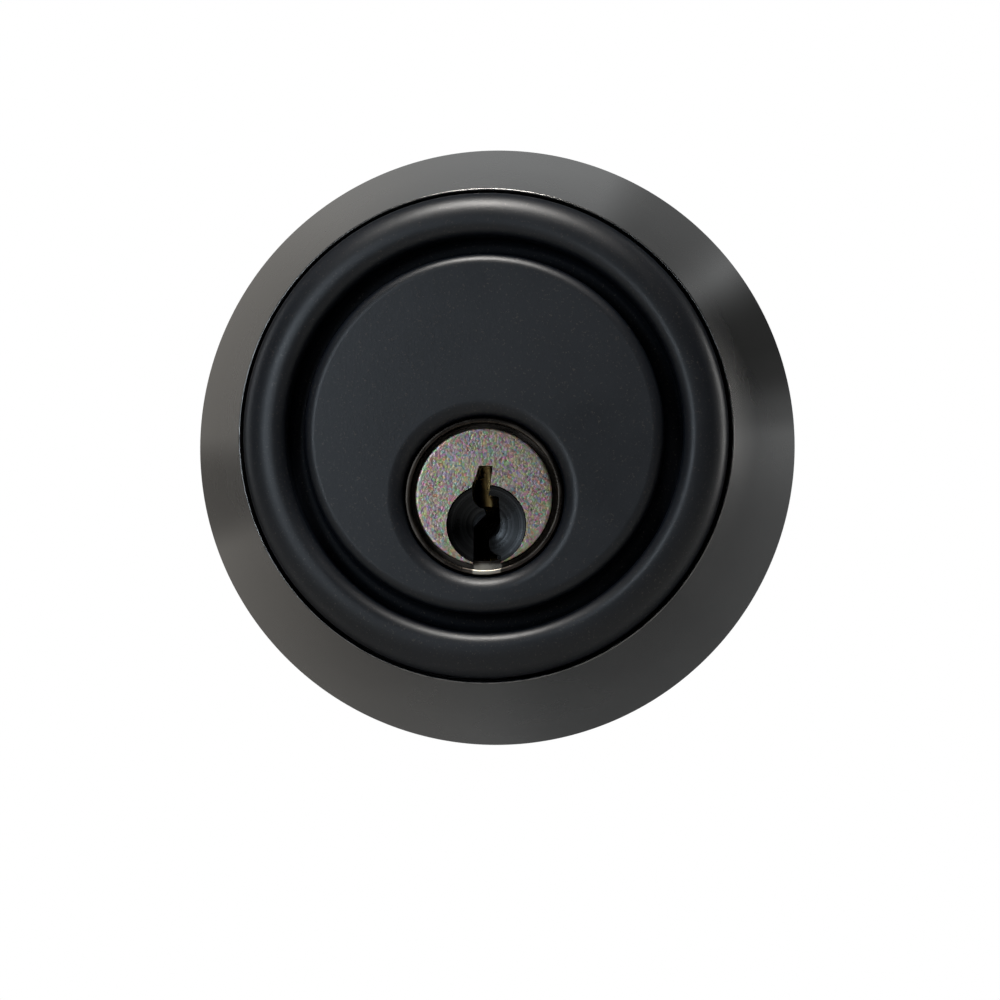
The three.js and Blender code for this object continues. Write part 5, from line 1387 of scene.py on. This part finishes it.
class BuildCase(bpy.types.Operator):
    """Builds the two halves of the case, the rivets and the detent spring. Each half is a plate drawn out along Y
    with holes for the cam's hub and the rivets, and its bent flanges. A rivet is a profile turned about Y, and
    the spring is a bowed strip."""

    bl_idname = "deadbolt.case"
    bl_label = "Bolt case"

    def execute(self, context):
        rivets = []
        for number in (1, 2):
            low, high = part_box(f"case_rivet_{number}")
            rivets.append(((low.x + high.x) / 2, (low.z + high.z) / 2))
        for place, side in (("outer", -1), ("inner", 1)):
            node_name = f"case_half_{place}"
            low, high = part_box(node_name)
            far = side * max(abs(low.y), abs(high.y))
            near = side * CASE_INSIDE / 2
            front = BARREL[0].x - SEAT
            span = sorted((near, far))
            walls = hole_profile(*span, 0.00015, 3)
            holes = [(circle(CAM_HUB_RADIUS + RUN, SMALL, PLUG_AXIS), walls)]
            holes += [(circle(0.00145, 24, rivet), walls) for rivet in rivets]
            surface = Surface("Y")
            plate = rectangle(low.x, front, low.z, high.z, 0.0012, 8)
            surface.solid(plate, edge_profile(*span, EDGE, EDGE, 3), holes)
            tab = rectangle(front - 0.001, high.x, -0.004, 0.004, 0.0003)
            surface.solid(tab, edge_profile(span[0] + 0.00001, span[1] - 0.00001, EDGE, EDGE, 3))
            inner = sorted((side * RUN, far))
            for box in (
                (low.x + 0.00001, low.x + 0.0012, low.z, -0.002),
                (0.008, front - 0.00001, low.z + 0.00001, low.z + 0.0012),
            ):
                edges = edge_profile(inner[0] + 0.00002, inner[1] - 0.00002, EDGE, EDGE, 3)
                surface.solid(rectangle(*box, 0.0003), edges)
            surface.made(f"case_half_{place}_surface", [finish("zinc")], "lock_body", "zinc_plate", [node_name])
        for number, centre in enumerate(rivets, 1):
            node_name = f"case_rivet_{number}"
            low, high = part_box(node_name)
            head, shank, thick = (high.x - low.x) / 2, 0.0013, 0.0006
            dome = arc(0, 0, 1.0, 90, 20, 9)
            seat = high.y - thick
            rise = (dome[:, 1] - dome[-1, 1]) * thick / (1 - dome[-1, 1])
            top = np.stack([dome[:, 0] * head, seat + rise], axis=1)
            upper = np.concatenate([top, [[head, seat], [shank, seat]]])
            lower = upper[::-1] * np.array([1, -1])
            surface = Surface("Y")
            surface.turned(np.concatenate([upper, lower]), 40, centre)
            surface.made(f"case_rivet_{number}_surface", [finish("steel")], "lock_body", "steel", [node_name])
        low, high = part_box("detent_spring")
        length, thick = high.x - low.x, 0.0005
        radius = length
        bow = np.concatenate([arc(0, 0, radius, 60, 120, 31), arc(0, 0, radius - thick, 120, 60, 31)])
        bow[:, 0] *= length / (2 * radius * math.sin(math.radians(30)))
        bow += np.array([(low.x + high.x) / 2, high.z - radius])
        surface = Surface("Y")
        surface.solid(bow, edge_profile(low.y, high.y, 0.0001, 0.0001, 3))
        surface.made("detent_spring_surface", [finish("drawn_steel")], "lock_body", "steel", ["detent_spring"])
        return {"FINISHED"}


class BuildMountingPlate(bpy.types.Operator):
    """Builds the plate that the two long screws pull against the door: a round outline with a large hole about the
    plug's axis and two screw holes, drawn out along Y."""

    bl_idname = "deadbolt.mounting_plate"
    bl_label = "Mounting plate"

    def execute(self, context):
        low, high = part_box("mounting_plate")
        walls = hole_profile(low.y, high.y, EDGE)
        holes = [(circle(PLATE_HOLE, ROUND, PLUG_AXIS), walls)]
        holes += [(circle(SCREW_ROOM, 40, (0.0, side * POST_Z)), walls) for side in (-1, 1)]
        surface = Surface("Y")
        surface.solid(circle(high.x, FINE), edge_profile(low.y, high.y, EDGE, 0.0003), holes)
        surface.made("mounting_plate_surface", [finish("zinc")], "lock_body", "zinc_plate", ["mounting_plate"])
        return {"FINISHED"}


class BuildRose(bpy.types.Operator):
    """Builds the rose on the inside of the door. Its rim is an open cup, turned about Y as a closed profile, and its
    face is a disc with holes for the thumbturn and the two screws."""

    bl_idname = "deadbolt.rose"
    bl_label = "Inside rose"

    def execute(self, context):
        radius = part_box("interior_rose")[1].x
        face, edge, wall, bend = 0.027, 0.001, ROSE_WALL, 0.002
        height = ROSE_FACE - INSIDE
        inside_face = ROSE_FACE - wall
        slope = (radius - face) / (height - edge)
        shoulder = math.degrees(math.atan(slope))
        disc = face - bend + 0.0004
        rows = [
            [[radius - wall, INSIDE], [radius - CORNER, INSIDE], [radius, INSIDE + CORNER]],
            [[radius, INSIDE + edge]],
            arc(disc, ROSE_FACE - bend, bend, shoulder, 90, 16),
        ]
        inner = [[disc, inside_face], [face - bend + EDGE, inside_face], [radius - wall, INSIDE + edge]]
        surface = Surface("Y")
        surface.turned(np.concatenate([*rows, inner]), FINE, closed=True)
        walls = hole_profile(inside_face, ROSE_FACE, EDGE)
        holes = [(circle(0.0073, ROUND, PLUG_AXIS), walls)]
        holes += [(circle(SCREW_ROOM, 40, (0.0, side * POST_Z)), walls) for side in (-1, 1)]
        surface.solid(circle(disc, FINE), np.array([[0.0, inside_face], [0.0, ROSE_FACE]]), holes)
        low, high = INSIDE + 0.0026, inside_face + RUN
        for side in (-1, 1):
            centre = (0.0, side * POST_Z)
            hole = (circle(SCREW_ROOM, 40, centre), hole_profile(low, high, EDGE))
            surface.solid(circle(SCREW_HEAD, SMALL, centre), edge_profile(low, high, EDGE, 0.0), [hole])
        surface.made("inside_rose_surface", [finish("satin_black")], "lock_body", "satin_black", ["interior_rose"])
        return {"FINISHED"}


class BuildMountingScrews(bpy.types.Operator):
    """Builds the two long screws: a shank whose ridge follows a helix near its end, and a round head with a cross."""

    bl_idname = "deadbolt.mounting_screws"
    bl_label = "Mounting screws"

    def execute(self, context):
        for place, side in (("bottom", -1), ("top", 1)):
            node_name = f"mounting_screw_{place}"
            low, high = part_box(node_name)
            centre = (0.0, side * POST_Z)
            seat = ROSE_FACE + RUN
            surface = Surface("Y")
            threaded(surface, 0.00235, 0.0018, 0.0008, low.y, low.y + 0.030, centre)
            surface.solid(circle(0.0021, 40, centre), np.array([[0.0, low.y + 0.0295], [0.0, seat + RUN]]))
            screw_head(surface, SCREW_HEAD, seat, high.y, 0.0014, 0.0023, 0.0013, centre)
            name = f"mounting_screw_{place}_surface"
            surface.made(name, [finish("satin_black")], "lock_body", "satin_black", [node_name])
        return {"FINISHED"}


class BuildThumbturn(bpy.types.Operator):
    """Builds the thumbturn. Its shaft and round base are a profile turned about the plug's axis. The wing is a
    stack of rounded rectangles whose length and thickness follow the height: both grow towards the end and then
    round off in a quarter circle."""

    bl_idname = "deadbolt.thumbturn"
    bl_label = "Thumbturn"

    def execute(self, context):
        low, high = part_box("thumbturn_knob")
        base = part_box("thumbturn_bushing")[1].y + RUN
        radius, shaft, groove = high.x, 0.006, 0.005
        clip_low, clip_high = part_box("retaining_clip")
        profile = np.concatenate(
            [
                [[0.0, low.y], [shaft - 0.0004, low.y], [shaft, low.y + 0.0004], [shaft, clip_low.y - RUN]],
                [[groove, clip_low.y - RUN], [groove, clip_high.y + RUN], [shaft, clip_high.y + RUN], [shaft, base]],
                arc(radius - CORNER, base + CORNER, CORNER, 270, 360, 4),
                arc(radius - 0.0018, base + 0.0018, 0.0018, 0, 55, 8),
                arc(0.0072, base + 0.0026, 0.001, 70, 90, 4),
                [[0.0, base + 0.0036]],
            ]
        )
        surface = Surface("Y")
        surface.turned(profile, ROUND, PLUG_AXIS)
        span, end = (high.z - low.z) / 2, high.y
        corner, tip, waist, flat = 0.007, 0.004, 0.0027, 0.002
        foot = base + 0.0012
        tip_levels = end - corner * (1 - np.sin(np.linspace(0, np.pi / 2, 26)))
        levels = np.concatenate([np.linspace(foot, end - corner, 14)[:-1], tip_levels])
        swell = np.clip((levels - base - 0.001) / (end - 0.010 - base - 0.001), 0.0, 1.0)
        length_half = 0.008 + (span - 0.008) * swell**1.15
        past = np.clip(levels - (end - corner), 0.0, corner)
        length_half -= corner - np.sqrt(corner**2 - past**2)
        grow = np.clip((levels - base - 0.006) / (end - 0.003 - base - 0.006), 0.0, 1.0)
        thick_half = waist + (tip - waist) * grow**1.3
        over = np.clip(levels - (end - flat), 0.0, flat)
        thick_half -= flat - np.sqrt(np.maximum(flat**2 - over**2, 0.0))
        rows = []
        for level, half_v, half_u in zip(levels, length_half, thick_half):
            loop = rounded_rectangle(2 * half_u, 2 * half_v, half_u * 0.92, PLUG_AXIS, 9)[:-1]
            rows.append(np.concatenate([loop, np.full((len(loop), 1), level)], axis=1))
        surface.grid(np.array(rows))
        surface.cap(rows[0])
        surface.cap(rows[-1])
        surface.made("thumbturn_surface", [finish("satin_black")], "thumbturn", "satin_black", ["thumbturn_knob"])

        low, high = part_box("thumbturn_bushing")
        inner, outer, seat, edge = 0.00615, 0.00715, ROSE_FACE + RUN, 0.00015
        profile = np.concatenate(
            [
                [[inner, low.y], [outer, low.y], [outer, seat], [high.x - edge, seat]],
                arc(high.x - edge, high.y - edge, edge, 0, 90, 4),
                [[inner, high.y]],
            ]
        )
        surface = Surface("Y")
        surface.turned(profile, ROUND, PLUG_AXIS, closed=True)
        surface.made("bushing_surface", [finish("nylon")], "lock_body", "nylon", ["thumbturn_bushing"])
        return {"FINISHED"}


class BuildPinSprings(bpy.types.Operator):
    """Builds the springs over the driver pins. A round wire is swept up a helix, centre + radius (cos t, sin t), that
    rises evenly with t."""

    bl_idname = "deadbolt.pin_springs"
    bl_label = "Pin springs"

    def execute(self, context):
        t = np.linspace(0.0, 2 * np.pi * COIL_TURNS, COIL_STEPS * COIL_TURNS + 1)[:, None]
        around = np.linspace(0.0, 2 * np.pi, WIRE_POINTS, endpoint=False)[None, :]
        for number in range(1, PIN_COUNT + 1):
            low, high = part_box(f"pin_spring_{number}")
            length = high.z - low.z
            middle = [(low.x + high.x) / 2, (low.y + high.y) / 2]
            out = (high.x - low.x) / 2 - COIL_WIRE + COIL_WIRE * np.cos(around)
            rows = np.empty((len(t), WIRE_POINTS, 3))
            rows[..., 0] = middle[0] + out * np.cos(t)
            rows[..., 1] = middle[1] + out * np.sin(t)
            rise = (length - 2 * COIL_WIRE) * t / t[-1]
            rows[..., 2] = low.z + COIL_WIRE + rise + COIL_WIRE * np.sin(around)
            surface = Surface("Z")
            surface.grid(rows)
            surface.cap(rows[0])
            surface.cap(rows[-1])
            names = [f"pin_spring_{number}"]
            piece = surface.made(f"pin_spring_{number}_surface", [finish("steel")], "lock_body", "steel", names)
            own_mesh(piece)
        return {"FINISHED"}


class FinishHiddenParts(bpy.types.Operator):
    """Gives a finish to the small parts inside that keep their CAD shape."""

    bl_idname = "deadbolt.hidden_parts"
    bl_label = "Hidden parts"

    def execute(self, context):
        kept = {
            "brass": ["spring_cover"],
            "nickel": [f"driver_pin_{number}" for number in range(1, PIN_COUNT + 1)],
            "steel": ["retaining_clip", "wave_washer"],
            "hardened": ["shell_drill_pin", "plug_drill_pin", "saw_pin"],
        }
        for key, names in kept.items():
            for name in names:
                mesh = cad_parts[name].data
                mesh.materials.clear()
                mesh.materials.append(finish(key))
        return {"FINISHED"}


# ------------------------------------------------------------------ stage
def stage_material(name, seen, reflected):
    """A matt surface that the camera sees in one flat colour, and that the object sees in another."""
    material = bpy.data.materials.new(name)
    material.use_nodes = True
    tree = material.node_tree
    shader = tree.nodes["Principled BSDF"]
    shader.inputs["Base Color"].default_value = rgba(reflected)
    shader.inputs["Roughness"].default_value = 0.6
    flat = node(tree, "ShaderNodeEmission", {"Color": rgba(seen), "Strength": 1.0}).outputs[0]
    direct = node(tree, "ShaderNodeLightPath").outputs["Is Camera Ray"]
    both = node(tree, "ShaderNodeMixShader", {0: direct, 1: shader.outputs[0], 2: flat}).outputs[0]
    tree.links.new(both, tree.nodes["Material Output"].inputs["Surface"])
    return material


BOARD_SHADOWS = (
    # angle clockwise from the top, half width and depth of each soft shadow across the board, in degrees
    (67.0, 16.0, 0.85),
    (80.0, 8.0, 0.45),
    (38.0, 16.0, 0.50),
    (261.0, 12.0, 0.45),
    (152.0, 30.0, 0.30),
    (115.0, 26.0, 0.25),
    (288.0, 40.0, 0.20),
)


def board_material():
    """The camera sees a plain white board from straight in front, and none from aside. The collar reflects a dim
    one, brightest at the upper left, with soft shadows that run outwards."""
    material = stage_material("Board", (1.0, 1.0, 1.0), (0.3, 0.3, 0.3))
    tree = material.node_tree
    place = node(tree, "ShaderNodeTexCoord").outputs["Object"]
    split = node(tree, "ShaderNodeSeparateXYZ", {"Vector": place}).outputs
    flat = node(tree, "ShaderNodeCombineXYZ", {"X": split["X"], "Z": split["Z"]}).outputs[0]
    away = node(tree, "ShaderNodeVectorMath", {0: flat}, operation="NORMALIZE").outputs[0]
    radius = node(tree, "ShaderNodeVectorMath", {0: flat}, operation="LENGTH").outputs["Value"]

    def towards(degrees):
        t = math.radians(degrees)
        along = {0: away, 1: (math.sin(t), 0.0, math.cos(t))}
        return node(tree, "ShaderNodeVectorMath", along, operation="DOT_PRODUCT").outputs["Value"]

    light = ramp(tree, towards(-12.0), -1.0, 1.0, 0.25, 0.46)
    for degrees, half_width, depth in BOARD_SHADOWS:
        shade = ramp(tree, towards(degrees), math.cos(math.radians(half_width)), 1.0, 1.0, 1.0 - depth)
        light = maths(tree, "MULTIPLY", light, shade)
    light = maths(tree, "MULTIPLY", light, ramp(tree, radius, 0.033, 0.046, 1.0, 0.70))
    warm = ramp(tree, towards(265.0), -0.2, 1.0)
    tint = mix_colour(tree, warm, (0.95, 0.98, 1.0, 1.0), (1.0, 0.96, 0.90, 1.0))
    glow = node(tree, "ShaderNodeEmission", {"Color": tint, "Strength": light}).outputs[0]
    mix = next(item for item in tree.nodes if item.type == "MIX_SHADER")
    tree.links.new(glow, mix.inputs[1])
    towards_eye = node(tree, "ShaderNodeNewGeometry").outputs["Incoming"]
    level = node(tree, "ShaderNodeVectorMath", {0: towards_eye, 1: (0.0, -1.0, 0.0)}, operation="DOT_PRODUCT")
    aside = ramp(tree, level.outputs["Value"], 0.90, 0.88)
    direct = node(tree, "ShaderNodeLightPath").outputs["Is Camera Ray"]
    clear = node(tree, "ShaderNodeBsdfTransparent").outputs[0]
    hidden = maths(tree, "MULTIPLY", aside, direct)
    both = node(tree, "ShaderNodeMixShader", {0: hidden, 1: mix.outputs[0], 2: clear}).outputs[0]
    output = next(item for item in tree.nodes if item.type == "OUTPUT_MATERIAL")
    tree.links.new(both, output.inputs["Surface"])
    return material


def area_light(name, place, target, width, height, watts, tint):
    """One rectangular soft light."""
    light = bpy.data.lights.new(name, "AREA")
    light.shape = "RECTANGLE"
    light.size, light.size_y = width, height
    light.energy = watts
    light.color = tint
    lamp = linked(name, light)
    lamp.location = place
    lamp.rotation_euler = (Vector(target) - lamp.location).to_track_quat("-Z", "Y").to_euler()


def stage_box(name, low, high, material, hole=0.0):
    """A block of the stage, with a round hole through it along Y if one is given."""
    surface = Surface("Y")
    outline = rectangle(low[0], high[0], low[2], high[2], 0.0005)
    holes = [(circle(hole, ROUND), np.array([[0.0, low[1]], [0.0, high[1]]]))] if hole else []
    surface.solid(outline, edge_profile(low[1], high[1], 0.0003, 0.0003), holes)
    mesh = surface.mesh(name)
    mesh.materials.append(material)
    linked(name, mesh)


class BuildStage(bpy.types.Operator):
    """Builds the stage: a pale floor, a white board where a door's outer face would be, soft lights and the
    camera."""

    bl_idname = "deadbolt.stage"
    bl_label = "Stage, lights and camera"

    def execute(self, context):
        scene = context.scene
        colours = scene.deadbolt_colours
        white = (1.0, 1.0, 1.0)
        board = board_material()
        floor = stage_material("Floor", white, [0.3 * value for value in colours.floor])
        foot = -0.064
        stage_box("Board", (-0.056, OUTSIDE + 0.00002, foot), (0.0565, OUTSIDE + 0.003, 0.054), board, hole=0.0272)
        stage_box("Floor", (-1.5, -1.2, foot - 0.01), (1.5, 1.2, foot - 0.0002), floor)

        world = scene.world or bpy.data.worlds.new("World")
        scene.world = world
        world.use_nodes = True
        tree = world.node_tree
        tree.nodes.clear()
        direction = node(tree, "ShaderNodeTexCoord").outputs["Generated"]
        split = node(tree, "ShaderNodeSeparateXYZ", {"Vector": direction}).outputs
        height = ramp(tree, split["Z"], 0.0, 0.9, 0.008, 0.10)
        side = ramp(tree, split["X"], -0.9, 0.9)
        height = maths(tree, "MULTIPLY", height, ramp(tree, split["X"], -0.6, 0.6, 1.5, 0.5))
        tint = mix_colour(tree, side, (0.80, 0.90, 1.0, 1.0), (0.62, 0.60, 0.60, 1.0))
        dim = node(tree, "ShaderNodeBackground", {"Color": tint, "Strength": height}).outputs[0]
        seen = node(tree, "ShaderNodeBackground", {"Color": (1.0, 1.0, 1.0, 1.0), "Strength": 1.0}).outputs[0]
        direct = node(tree, "ShaderNodeLightPath").outputs["Is Camera Ray"]
        both = node(tree, "ShaderNodeMixShader", {0: direct, 1: dim, 2: seen}).outputs[0]
        output = tree.nodes.new("ShaderNodeOutputWorld")
        tree.links.new(both, output.inputs["Surface"])

        centre = (0.0, OUTSIDE - HEAD_HEIGHT, 0.0)
        area_light("Top light", (-0.03, -0.22, 0.60), centre, 0.22, 0.16, 6.0, (1.0, 0.97, 0.93))
        area_light("Left fill", (-0.110, -0.270, 0.035), centre, 0.05, 0.12, 0.20, (0.78, 0.89, 1.0))
        behind = (0.0, 0.03, 0.0)
        area_light("Rear light", (0.25, 0.60, 0.45), behind, 0.90, 0.70, 6.0, (1.0, 0.99, 0.97))
        area_light("Rear fill", (-0.55, 0.45, 0.05), behind, 0.70, 0.80, 3.5, (0.90, 0.95, 1.0))
        area_light("Rear low", (0.10, 0.60, -0.20), behind, 0.60, 0.40, 2.0, (1.0, 0.98, 0.95))
        area_light("Right light", (0.70, 0.38, 0.10), (0.03, 0.02, 0.0), 0.30, 0.60, 6.0, (1.0, 0.99, 0.97))

        lens = bpy.data.cameras.new("Camera")
        lens.lens = 100.44
        lens.sensor_width = 36.0
        lens.clip_start, lens.clip_end = 0.01, 20.0
        camera = linked("Camera", lens)
        azimuth, elevation, distance = math.radians(3.65), math.radians(-2.95), 0.300
        away = Vector(
            (
                math.sin(azimuth) * math.cos(elevation),
                -math.cos(azimuth) * math.cos(elevation),
                math.sin(elevation),
            )
        )
        target = Vector((0.00045, OUTSIDE, -0.00576))
        camera.location = target + away * distance
        camera.rotation_euler = away.to_track_quat("Z", "Y").to_euler()
        scene.camera = camera
        scene.view_settings.view_transform = "Standard"
        return {"FINISHED"}


OPERATORS = (
    BuildCollar,
    BuildGuardRing,
    BuildCollarSpring,
    BuildHousing,
    BuildShell,
    BuildPlug,
    BuildKeyPins,
    BuildCylinderRear,
    BuildTailpiece,
    BuildCam,
    BuildBolt,
    BuildPlates,
    BuildFaceplateScrews,
    BuildBarrel,
    BuildCase,
    BuildMountingPlate,
    BuildRose,
    BuildMountingScrews,
    BuildThumbturn,
    BuildPinSprings,
    FinishHiddenParts,
    BuildStage,
)


class DEADBOLT_PT_build(bpy.types.Panel):
    """Lists the steps that build the lock, with its sizes and colours."""

    bl_label = "Deadbolt"
    bl_idname = "DEADBOLT_PT_build"
    bl_space_type = "VIEW_3D"
    bl_region_type = "UI"
    bl_category = "Deadbolt"

    def draw(self, context):
        column = self.layout.column(align=True)
        for operator in OPERATORS:
            column.operator(operator.bl_idname)
        for group in (context.scene.deadbolt_sizes, context.scene.deadbolt_colours):
            column = self.layout.column(align=True)
            for name in group.bl_rna.properties.keys():
                if name not in {"rna_type", "name"}:
                    column.prop(group, name)


CLASSES = (DeadboltSizes, DeadboltColours, *OPERATORS, DEADBOLT_PT_build)


def register():
    for item in CLASSES:
        bpy.utils.register_class(item)
    bpy.types.Scene.deadbolt_sizes = PointerProperty(type=DeadboltSizes)
    bpy.types.Scene.deadbolt_colours = PointerProperty(type=DeadboltColours)


def unregister():
    del bpy.types.Scene.deadbolt_colours
    del bpy.types.Scene.deadbolt_sizes
    for item in reversed(CLASSES):
        bpy.utils.unregister_class(item)


def main():
    register()
    for operator in OPERATORS:
        group, name = operator.bl_idname.split(".")
        getattr(getattr(bpy.ops, group), name)()


if __name__ == "__main__":
    main()
